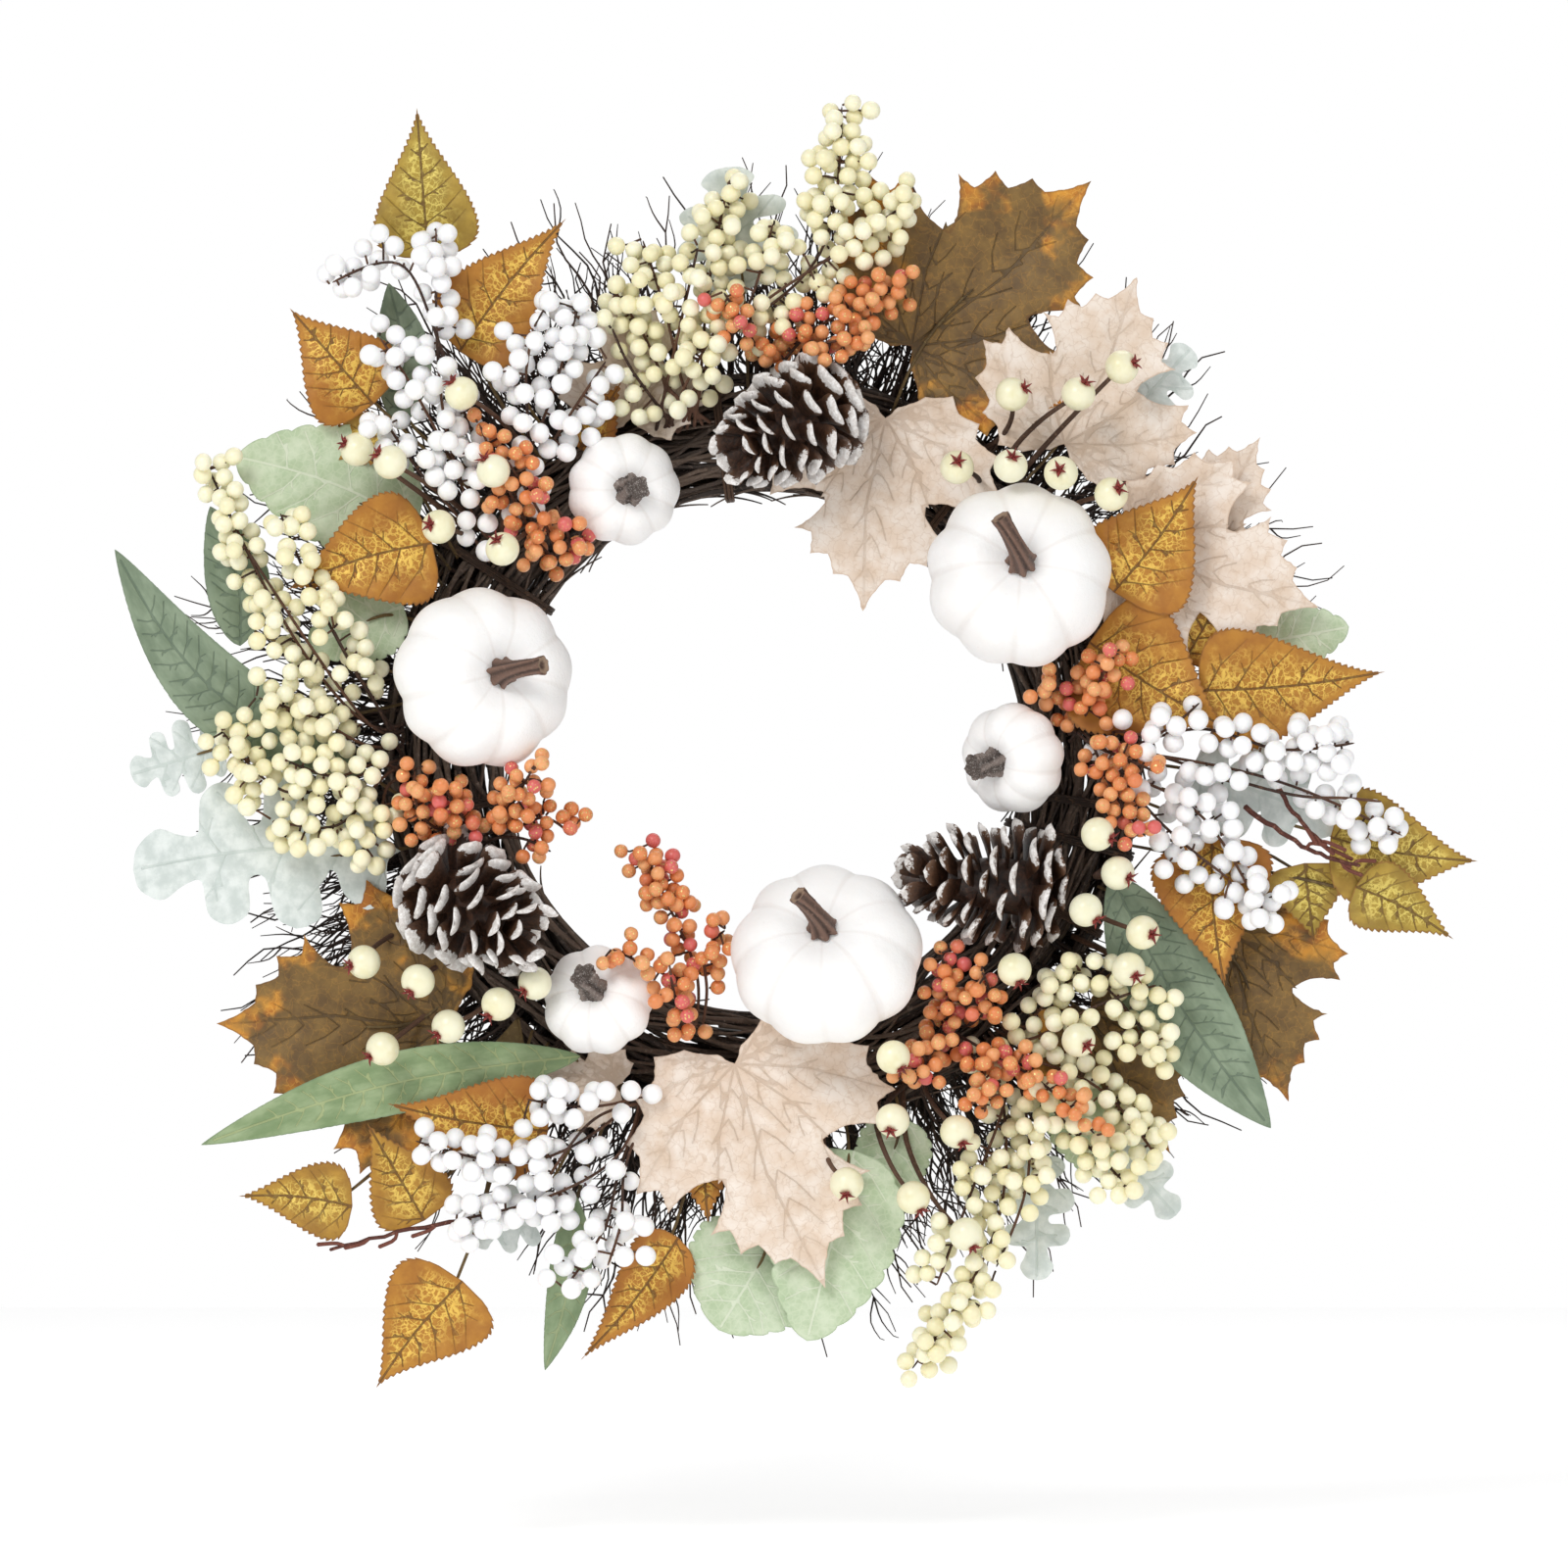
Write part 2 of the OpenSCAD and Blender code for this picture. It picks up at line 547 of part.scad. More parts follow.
// Outlines are for the right half, base at 0 and tip at 1, width in half widths
function toothed(n, peak, cut, blunt) = [for (i = [1 : n - 1])
    let (t = i / n) [pow(sin(180 * pow(t, peak)), 1 / blunt) * (i % 2 == 0 ? 1 - cut : 1), t]];
maple_half = [
    [0.30, -0.13], [0.42, -0.12], [0.44, -0.04], [0.62, -0.02], [0.55, 0.08], [0.52, 0.13],
    [0.72, 0.14], [0.80, 0.22], [1.0, 0.30], [0.92, 0.38], [0.96, 0.48], [0.82, 0.46],
    [0.64, 0.45], [0.46, 0.40], [0.34, 0.40], [0.26, 0.45], [0.30, 0.56], [0.40, 0.66],
    [0.28, 0.70], [0.23, 0.78], [0.12, 0.86]
];
lobed_half = [
    [0.16, 0.06], [0.60, 0.10], [0.74, 0.18], [0.34, 0.24], [0.34, 0.31], [0.92, 0.35],
    [1.0, 0.45], [0.38, 0.49], [0.36, 0.56], [0.84, 0.62], [0.86, 0.71], [0.32, 0.73],
    [0.34, 0.82], [0.40, 0.92]
];
function outline(half, w, l) = concat([[0, 0]],
    [for (p = half) [p[0] * w / 2, p[1] * l]], [[0, l]],
    [for (i = [len(half) - 1 : -1 : 0]) [-half[i][0] * w / 2, half[i][1] * l]]);

module leaf(g, half) {
    v = unit(at(g[1]) - at(g[0]));
    w = leaf_normal(g);
    u = cross(v, w);
    o = at(g[0]);
    multmatrix([[u[0], v[0], w[0], o[0]], [u[1], v[1], w[1], o[1]], [u[2], v[2], w[2], o[2]],
        [0, 0, 0, 1]])
        translate([0, 0, -leaf_thick / 2])
            linear_extrude(height = leaf_thick)
                polygon(outline(half, g[2], leaf_length(g)));
}

module leaves(list, half, tint) {
    color(tint)
        for (g = list)
            leaf(g, half);
}

// The wire behind a leaf: up the back of the blade, then down into a gap of the ring
function leaf_wire_path(g) = let (
    back = -leaf_normal(g) * (leaf_thick / 2 + leaf_wire / 2 + 0.05),
    a = angle_of(g[0]) + g[3], r = gap_near(reach_of(g[0])))
    [on_ring(a, r, foot_depth), on_ring(a, r, min(lift_depth, g[0][2] - 3)), at(g[0]) + back,
        mix(at(g[0]), at(g[1]), 0.35) + back];

module leaf_wires(lists) {
    color([0.28, 0.22, 0.12])
        for (list = lists, g = list)
            wire(leaf_wire_path(g), leaf_wire / 2, leaf_wire / 2);
}

// ---- berry sprays ----
function arm_foot(spray, i, d) = let (n = len(spray[2]), turn = 3 / spray[1] * 180 / PI)
    on_ring(spray[0] + turn * (i - (n - 1) / 2), spray[1], d);
function arm_path(spray, i) = smooth(concat([arm_foot(spray, i, foot_depth),
    arm_foot(spray, i, lift_depth - 4), arm_foot(spray, i, lift_depth + 4)],
    [for (p = spray[2][i]) at(p)]), 2);
function spray_paths(spray) = [for (i = [0 : len(spray[2]) - 1]) arm_path(spray, i)];

module stems(sprays) {
    color([0.34, 0.22, 0.14])
        for (spray = sprays, q = spray_paths(spray))
            wire(q, stem_thick / 2, stem_thick * 0.36);
}

// Beads wind round each arm from its first bend to its tip
function arm_beads(q, d, gap, phase) = let (run = run_of(q), start = run[5], stop = run[len(q) - 1],
    n = floor((stop - start) / gap)) [
    for (k = [0 : n]) let (s = start + k * gap, c = along(q, run, s),
        t = unit(along(q, run, min(s + 2, stop)) - along(q, run, min(s + 2, stop) - 4)),
        u = side_of(t), v = cross(t, u), a = golden * k + phase,
        out = d * (0.66 + 0.16 * wave(k, 2)))
        k == n ? c + t * d * 0.62 : c + out * (cos(a) * u + sin(a) * v)];
function spray_beads(spray, d, gap) = [for (i = [0 : len(spray[2]) - 1])
    each arm_beads(arm_path(spray, i), d, gap, 77 * i)];

// ---- rosehips ----
function hip_path(h) = let (c = h[0], a = angle_of(c) + h[1], r = gap_near(reach_of(c)),
    rise = [for (d = [foot_depth, lift_depth - 4, lift_depth + 4]) on_ring(a, r, d)])
    smooth(concat(rise, [at([c[0], c[1], c[2] - hip_d / 2 - 4]), at([c[0], c[1], c[2] - 2])]), 2);

module rosehips() {
    color([0.94, 0.92, 0.80])
        for (h = hips)
            translate(at(h[0]))
                sphere(d = hip_d);
}

module rosehip_wires() {
    color([0.22, 0.15, 0.11])
        for (h = hips)
            wire(hip_path(h), 0.8, 0.8);
}

// The dried star at the hip's outer end leans out from the ring
function hip_out(h) = unit([h[0][0] * 0.004, -1, h[0][1] * 0.004]);
module rosehip_calyxes() {
    color([0.50, 0.16, 0.14])
        for (h = hips)
            rod(at(h[0]) + hip_out(h) * (hip_d / 2 - 1.2), at(h[0]) + hip_out(h) * (hip_d / 2 + 1.6),
                1.6, 2.8);
}

// ---- a bead is left off where another piece already sits ----
function clear_of_egg(p, r, c) = let (w = unit(at(c[3])), e = p - at(c[0]), h = e * w,
    s = norm(e - h * w)) pow(s / (c[1] + r + 2), 2) + pow(h / (c[2] + r + 2), 2) > 1;
function clear_of_leaf(p, r, g) = let (v = unit(at(g[1]) - at(g[0])), w = leaf_normal(g),
    u = cross(v, w), e = p - at(g[0]))
    abs(e * w) > r + leaf_thick / 2 + 0.3 || abs(e * u) > g[2] / 2 + r || e * v < -0.2 * leaf_length(g) - r
    || e * v > leaf_length(g) + r;
function gap_to_line(p, a, b) = let (t = max(0, min(1, (p - a) * (b - a) / ((b - a) * (b - a)))))
    norm(p - mix(a, b, t));
function clear_of_line(p, r, q) = len([for (i = [0 : len(q) - 2])
    if (gap_to_line(p, q[i], q[i + 1]) < r + 0.15) 1]) == 0;
function clear_of_all(p, r, eggs, leaves, lines) =
    len([for (c = eggs) if (!clear_of_egg(p, r, c)) 1]) == 0
    && len([for (h = hips) if (norm(p - at(h[0])) < r + hip_d / 2 + 0.3) 1]) == 0
    && len([for (g = leaves) if (!clear_of_leaf(p, r, g)) 1]) == 0
    && len([for (q = lines) if (!clear_of_line(p, r + stem_thick / 2, q)) 1]) == 0;
function spaced(list, reach) = [for (i = [0 : len(list) - 1])
    if (len([for (j = [0 : 1 : i - 1]) if (norm(list[i] - list[j]) < reach) 1]) == 0) list[i]];
function thinned(list, others, reach) = [for (p = list)
    if (len([for (o = others) if (norm(p - o) < reach) 1]) == 0) p];

round_pieces = concat(pumpkins, [for (c = cones) [c[0], c[1] + 4, c[2] + 2, c[3]]]);
all_leaves = concat(gold_top, gold_right, gold_bottom, brown_maples, beige_top, beige_right,
    beige_bottom, long_leaves, scalloped_leaves, frosted_leaves);
white_sprays = [white_top, white_right, white_bottom];
cream_sprays = [cream_top, cream_left, cream_bottom];
all_lines = concat([for (s = concat(white_sprays, cream_sprays, orange_arms)) each spray_paths(s)],
    [for (g = all_leaves) leaf_wire_path(g)], [for (h = hips) hip_path(h)]);
white_gap = white_d * 0.31;
cream_gap = cream_d * 0.32;
orange_gap = orange_d * 0.33;
white_points = [for (s = white_sprays) spaced(spray_beads(s, white_d, white_gap), white_d + 0.05)];
cream_points = [for (s = cream_sprays) spaced(spray_beads(s, cream_d, cream_gap), cream_d + 0.05)];
orange_points = spaced([for (s = orange_arms) each spray_beads(s, orange_d, orange_gap)],
    orange_d + 0.05);

module beads(points, d) {
    for (p = points)
        if (clear_of_all(p, d / 2, round_pieces, all_leaves, all_lines))
            translate(p)
                sphere(d = d);
}

module white_berries(k) {
    color([0.96, 0.96, 0.97])
        beads(white_points[k], white_d);
}

module cream_berries(k) {
    color([0.94, 0.91, 0.72])
        beads(thinned(cream_points[k], concat(white_points[0], white_points[1], white_points[2]),
            (white_d + cream_d) / 2 + 0.3), cream_d);
}

module orange_berries() {
    others = concat(white_points[0], white_points[1], white_points[2]);
    creams = concat(cream_points[0], cream_points[1], cream_points[2]);
    color([0.86, 0.50, 0.24])
        beads(thinned(thinned(orange_points, others, (white_d + orange_d) / 2 + 0.3), creams,
            (cream_d + orange_d) / 2 + 0.3), orange_d);
}

module placed() {
    translate([0, frame_depth, -bar_height])
        children();
}

gold = [0.72, 0.52, 0.18];
brown = [0.42, 0.32, 0.18];
beige = [0.86, 0.77, 0.66];
sage = [0.50, 0.58, 0.46];
pale = [0.72, 0.78, 0.64];
frost = [0.86, 0.88, 0.86];

placed() wire_frame();
placed() hanging_loop();
placed() vine_ring();
placed() binding_bands();
placed() twig_fan(0);  // twig_fan_1
placed() twig_fan(1);  // twig_fan_2
placed() twig_fan(2);  // twig_fan_3
placed() twig_fan(3);  // twig_fan_4
placed() twig_fan(4);  // twig_fan_5
placed() twig_fan(5);  // twig_fan_6
placed() twig_fan(6);  // twig_fan_7
placed() pumpkin(pumpkins[0]);  // pumpkin_large_left
placed() pumpkin(pumpkins[1]);  // pumpkin_large_right
placed() pumpkin(pumpkins[2]);  // pumpkin_large_bottom
placed() pumpkin(pumpkins[3]);  // pumpkin_small_top
placed() pumpkin(pumpkins[4]);  // pumpkin_small_right
placed() pumpkin(pumpkins[5]);  // pumpkin_small_bottom
placed() pumpkin_stem(pumpkins[0], 22, 6.5, 3.4, [10, 0, 1]);  // pumpkin_stem_large_left
placed() pumpkin_stem(pumpkins[1], 20, 6.5, 3.4, [-10, 0, 14]);  // pumpkin_stem_large_right
placed() pumpkin_stem(pumpkins[2], 20, 6.5, 3.4, [-9, 0, 4]);  // pumpkin_stem_large_bottom
placed() pumpkin_stem(pumpkins[3], 13, 6.5, 4.6, [1, 0, 1]);  // pumpkin_stem_small_top
placed() pumpkin_stem(pumpkins[4], 13, 6, 4.6, [-2, 0, 0]);  // pumpkin_stem_small_right
placed() pumpkin_stem(pumpkins[5], 13, 6, 4.6, [-2, 0, 2]);  // pumpkin_stem_small_bottom
placed() pumpkin_picks();
placed() pine_cone(cones[0]);  // pine_cone_top
placed() pine_cone(cones[1]);  // pine_cone_left
placed() pine_cone(cones[2]);  // pine_cone_right
placed() cone_picks();
placed() leaves(gold_top, toothed(16, 0.60, 0.10, 1.05), gold);  // gold_leaves_top
placed() leaves(gold_right, toothed(16, 0.60, 0.10, 1.05), gold);  // gold_leaves_right
placed() leaves(gold_bottom, toothed(16, 0.60, 0.10, 1.05), gold);  // gold_leaves_bottom
placed() leaves(brown_maples, maple_half, brown);  // brown_maple_leaves
placed() leaves(beige_top, maple_half, beige);  // beige_maple_leaves_top
placed() leaves(beige_right, maple_half, beige);  // beige_maple_leaves_right
placed() leaves(beige_bottom, maple_half, beige);  // beige_maple_leaves_bottom
placed() leaves(long_leaves, toothed(16, 0.85, 0.02, 1.2), sage);  // long_green_leaves
placed() leaves(scalloped_leaves, toothed(12, 0.70, 0.14, 1.5), pale);
placed() leaves(frosted_leaves, lobed_half, frost);
placed() leaf_wires([gold_top, gold_right, gold_bottom]);  // gold_leaf_wires
placed() leaf_wires([brown_maples, beige_top, beige_right, beige_bottom]);  // maple_leaf_wires
placed() leaf_wires([long_leaves, scalloped_leaves]);  // green_leaf_wires
placed() leaf_wires([frosted_leaves]);  // frosted_leaf_wires
placed() white_berries(0);  // white_berries_top
placed() white_berries(1);  // white_berries_right
placed() white_berries(2);  // white_berries_bottom
placed() cream_berries(0);  // cream_berries_top
placed() cream_berries(1);  // cream_berries_left
placed() cream_berries(2);  // cream_berries_bottom
placed() stems(white_sprays);  // white_berry_stems
placed() stems([cream_top]);  // cream_berry_stems_top
placed() stems([cream_left]);  // cream_berry_stems_left
placed() stems([cream_bottom]);  // cream_berry_stems_bottom
placed() orange_berries();
placed() stems(orange_arms);  // orange_berry_stems
placed() rosehips();
placed() rosehip_wires();
placed() rosehip_calyxes();
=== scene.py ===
"""Harvest door wreath: the looks of the part, built round the CAD frame.

Every piece takes its place from the CAD nodes.  Lengths are in metres; MM turns millimetres
into metres.  The wreath's front faces -Y and up is +Z.
"""

import math
import zlib

import bmesh
import bpy
import numpy as np
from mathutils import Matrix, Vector
from mathutils.bvhtree import BVHTree
from mathutils.geometry import delaunay_2d_cdt


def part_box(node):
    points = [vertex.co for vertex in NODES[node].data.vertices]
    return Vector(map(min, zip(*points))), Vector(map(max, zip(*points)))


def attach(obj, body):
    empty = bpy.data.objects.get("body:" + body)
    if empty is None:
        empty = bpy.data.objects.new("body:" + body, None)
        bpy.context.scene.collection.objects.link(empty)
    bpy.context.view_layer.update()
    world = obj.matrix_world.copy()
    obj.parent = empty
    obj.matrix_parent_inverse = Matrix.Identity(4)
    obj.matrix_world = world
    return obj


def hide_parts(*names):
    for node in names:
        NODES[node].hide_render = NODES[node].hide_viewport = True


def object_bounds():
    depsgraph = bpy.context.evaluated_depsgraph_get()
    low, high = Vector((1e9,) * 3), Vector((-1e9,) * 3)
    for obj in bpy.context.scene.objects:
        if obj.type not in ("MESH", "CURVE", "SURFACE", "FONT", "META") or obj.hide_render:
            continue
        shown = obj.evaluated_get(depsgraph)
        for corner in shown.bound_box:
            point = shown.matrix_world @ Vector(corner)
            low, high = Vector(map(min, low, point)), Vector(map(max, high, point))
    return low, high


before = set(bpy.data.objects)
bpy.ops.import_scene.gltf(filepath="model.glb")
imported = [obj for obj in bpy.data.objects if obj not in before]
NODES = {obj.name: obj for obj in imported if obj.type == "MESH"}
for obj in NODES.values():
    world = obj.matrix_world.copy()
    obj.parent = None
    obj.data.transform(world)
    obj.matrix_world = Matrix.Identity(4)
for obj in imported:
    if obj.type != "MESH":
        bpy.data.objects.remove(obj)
cad_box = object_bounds()

MM = 0.001
FRONT = np.array([0.0, -1.0, 0.0])
GOLDEN = math.radians(137.508)


# ---------------------------------------------------------------- numbers and directions
def seeded(name):
    """A random generator that depends on the piece's name alone."""
    return np.random.default_rng(zlib.crc32(name.encode()))


def unit(v):
    return v / np.linalg.norm(v)


def smoothstep(low, high, x):
    t = np.clip((x - low) / (high - low), 0, 1)
    return t * t * (3 - 2 * t)


def across(axis):
    """Two directions square to axis and to each other."""
    helper = np.array([0.0, 0.0, 1.0]) if abs(axis[2]) < 0.9 else np.array([1.0, 0.0, 0.0])
    u = unit(np.cross(helper, axis))
    return u, np.cross(axis, u)


def wavy(s, rng, waves, size):
    """A smooth random line along s: a sum of sines of these wavelengths, size high."""
    total = np.zeros_like(s)
    for wave in waves:
        total += np.sin(2 * math.pi * (s / wave + rng.random())) * rng.uniform(0.4, 1.0)
    return total * size / len(waves)


# ---------------------------------------------------------------- reading the CAD nodes
def cad_mesh(name):
    """A CAD node's points, merged along the seams between its faces, and its triangles."""
    mesh = NODES[name].data
    co = np.empty(len(mesh.vertices) * 3)
    mesh.vertices.foreach_get("co", co)
    co = co.reshape(-1, 3)
    mesh.calc_loop_triangles()
    tris = np.empty(len(mesh.loop_triangles) * 3, dtype=np.int32)
    mesh.loop_triangles.foreach_get("vertices", tris)
    keys = np.round(co / 2e-6).astype(np.int64)
    _, first, same = np.unique(keys, axis=0, return_index=True, return_inverse=True)
    tris = same.reshape(-1)[tris].reshape(-1, 3)
    tris = tris[(tris[:, 0] != tris[:, 1]) & (tris[:, 1] != tris[:, 2]) & (tris[:, 0] != tris[:, 2])]
    return co[first], tris


def islands(name):
    """The separate solids of a CAD node, as (points, triangles), anticlockwise round the ring."""
    points, tris = cad_mesh(name)
    parent = list(range(len(points)))

    def root(i):
        while parent[i] != i:
            parent[i] = parent[parent[i]]
            i = parent[i]
        return i

    for a, b, c in tris.tolist():
        ra, rb, rc = root(a), root(b), root(c)
        parent[rb] = ra
        parent[root(rc)] = root(ra)
    label = np.array([root(i) for i in range(len(points))])
    found = []
    tri_label = label[tris[:, 0]]
    for value in np.unique(tri_label):
        mine = tris[tri_label == value]
        used, local = np.unique(mine, return_inverse=True)
        found.append((points[used], local.reshape(-1, 3)))
    found.sort(key=lambda s: ring_angle(s[0].mean(axis=0)))
    return found


def ring_angle(p):
    return math.atan2(p[2] - CENTRE[2], p[0] - CENTRE[0])


def middle_and_radius(points):
    """The middle of a round solid and its radius."""
    low, high = points.min(axis=0), points.max(axis=0)
    return (low + high) / 2, (high - low).mean() / 2


def area_centroid(points, tris):
    a, b, c = (points[tris[:, k]] for k in range(3))
    area = np.linalg.norm(np.cross(b - a, c - a), axis=1)
    return ((a + b + c) / 3 * area[:, None]).sum(axis=0) / area.sum()


low, high = (np.array(corner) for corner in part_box("vine_ring"))
CENTRE = (low + high) / 2
RING_OUT = (high[0] - low[0]) / 2
RING_BACK, RING_FRONT = high[1], low[1]
vine_points, _ = cad_mesh("vine_ring")
RING_IN = np.hypot(vine_points[:, 0] - CENTRE[0], vine_points[:, 2] - CENTRE[2]).min()


def on_ring(angle, radius, y):
    """A point at an angle and radius round the ring's centre, at depth y."""
    return np.stack([CENTRE[0] + radius * np.cos(angle), y + 0 * angle,
                     CENTRE[2] + radius * np.sin(angle)], axis=-1)


# ---------------------------------------------------------------- meshes
def add_piece(name, verts, faces, mats, slot, stands_for=(), attrs=None, uv=None,
              face_mats=None, sharp=None, body="root"):
    """Makes a piece from points in the row frame, with point attributes for its material."""
    if name in NODES:
        name += "_detail"
    mesh = bpy.data.meshes.new(name)
    mesh.from_pydata(verts.tolist(), [], faces if isinstance(faces, list) else faces.tolist())
    for material in mats:
        mesh.materials.append(material)
    if face_mats is not None:
        mesh.polygons.foreach_set("material_index", face_mats)
    mesh.shade_smooth()
    if sharp is not None:
        mesh.set_sharp_from_angle(angle=math.radians(sharp))
    for key, values in (attrs or {}).items():
        layer = mesh.attributes.new(key, "FLOAT", "POINT")
        layer.data.foreach_set("value", np.ascontiguousarray(values, dtype=np.float32))
    if uv is not None:
        layer = mesh.uv_layers.new(name="blade")
        corner = np.empty(len(mesh.loops), dtype=np.int32)
        mesh.loops.foreach_get("vertex_index", corner)
        layer.data.foreach_set("uv", uv[corner].astype(np.float32).ravel())
    mesh.validate()
    obj = bpy.data.objects.new(name, mesh)
    bpy.context.scene.collection.objects.link(obj)
    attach(obj, body)
    if stands_for:
        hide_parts(*stands_for)
    return obj


class Gather:
    """Collects many small closed shapes into one mesh."""

    def __init__(self):
        self.verts, self.faces, self.attrs, self.count = [], [], {}, 0

    def add(self, verts, faces, **attrs):
        self.verts.append(verts)
        self.faces.extend([[i + self.count for i in face] for face in faces])
        for key, value in attrs.items():
            self.attrs.setdefault(key, []).append(np.broadcast_to(value, (len(verts),)))
        self.count += len(verts)

    def piece(self, name, mats, slot, **how):
        attrs = {key: np.concatenate(parts) for key, parts in self.attrs.items()}
        return add_piece(name, np.concatenate(self.verts), self.faces, mats, slot, attrs=attrs,
                         **how)


def skin(rows, sides):
    """Quads between neighbouring rows of points round a closed shape."""
    faces = []
    for i in range(rows - 1):
        for k in range(sides):
            m = (k + 1) % sides
            faces.append([i * sides + k, i * sides + m, (i + 1) * sides + m, (i + 1) * sides + k])
    return faces


def lids(sides, *tips):
    """Triangles from each tip to its row.  A tip is (its point, the row's first point, flipped)."""
    faces = []
    for k in range(sides):
        m = (k + 1) % sides
        for tip, row, flipped in tips:
            faces.append([tip, row + m, row + k] if flipped else [tip, row + k, row + m])
    return faces


def directions(path):
    """The unit direction of a path at each of its points."""
    tangents = np.gradient(path, axis=0)
    return tangents / np.linalg.norm(tangents, axis=1)[:, None]


def tube(path, radii, sides, squash=None):
    """A closed round tube along a path: points and faces.  squash scales each side's radius."""
    n = len(path)
    tangents = directions(path)
    u, _ = across(tangents[0])
    rings = []
    turn = 2 * math.pi * np.arange(sides) / sides
    shape = np.ones(sides) if squash is None else squash
    for i in range(n):
        u = unit(u - u.dot(tangents[i]) * tangents[i])
        v = np.cross(tangents[i], u)
        rings.append(path[i] + radii[i] * shape[:, None]
                     * (np.cos(turn)[:, None] * u + np.sin(turn)[:, None] * v))
    ends = [path[0] - tangents[0] * radii[0] * 0.4, path[-1] + tangents[-1] * radii[-1] * 0.7]
    verts = np.vstack(rings + [np.array(ends)])
    caps = lids(sides, (n * sides, 0, True), (n * sides + 1, (n - 1) * sides, False))
    return verts, skin(n, sides) + caps


def spline(points, count):
    """Catmull-Rom through the points, resampled to count points."""
    p = np.vstack([2 * points[0] - points[1], points, 2 * points[-1] - points[-2]])
    out = []
    for s in np.linspace(0, len(points) - 1 - 1e-6, count):
        i = int(s)
        t = s - i
        a, b, c, d = p[i], p[i + 1], p[i + 2], p[i + 3]
        out.append(0.5 * (2 * b + (c - a) * t + (2 * a - 5 * b + 4 * c - d) * t * t
                          + (3 * b - a - 3 * c + d) * t ** 3))
    return np.array(out)


def ball(cuts):
    """A round ball of even quads: points and faces."""
    bm = bmesh.new()
    bmesh.ops.create_cube(bm, size=2.0)
    bmesh.ops.subdivide_edges(bm, edges=bm.edges[:], cuts=cuts, use_grid_fill=True)
    bmesh.ops.recalc_face_normals(bm, faces=bm.faces[:])
    verts = np.tan(np.array([v.co[:] for v in bm.verts]) * math.pi / 4)
    verts /= np.linalg.norm(verts, axis=1)[:, None]
    faces = [[v.index for v in f.verts] for f in bm.faces]
    bm.free()
    return verts, faces


def smooth_copy(name, mats, slot, levels):
    """A CAD wire node as a rounder mesh."""
    points, tris = cad_mesh(name)
    obj = add_piece(name, points, tris, mats, slot, stands_for=(name,))
    bm = bmesh.new()
    bm.from_mesh(obj.data)
    bmesh.ops.join_triangles(bm, faces=bm.faces[:], angle_face_threshold=0.7,
                             angle_shape_threshold=3.0)
    bm.to_mesh(obj.data)
    bm.free()
    obj.data.shade_smooth()
    rounding = obj.modifiers.new("rounding", "SUBSURF")
    rounding.levels = rounding.render_levels = levels
    return obj


# ---------------------------------------------------------------- materials
def rgb(text):
    """A hex sRGB colour as linear RGBA."""
    parts = [int(text[i:i + 2], 16) / 255 for i in (0, 2, 4)]
    return [c / 12.92 if c <= 0.04045 else ((c + 0.055) / 1.055) ** 2.4 for c in parts] + [1.0]


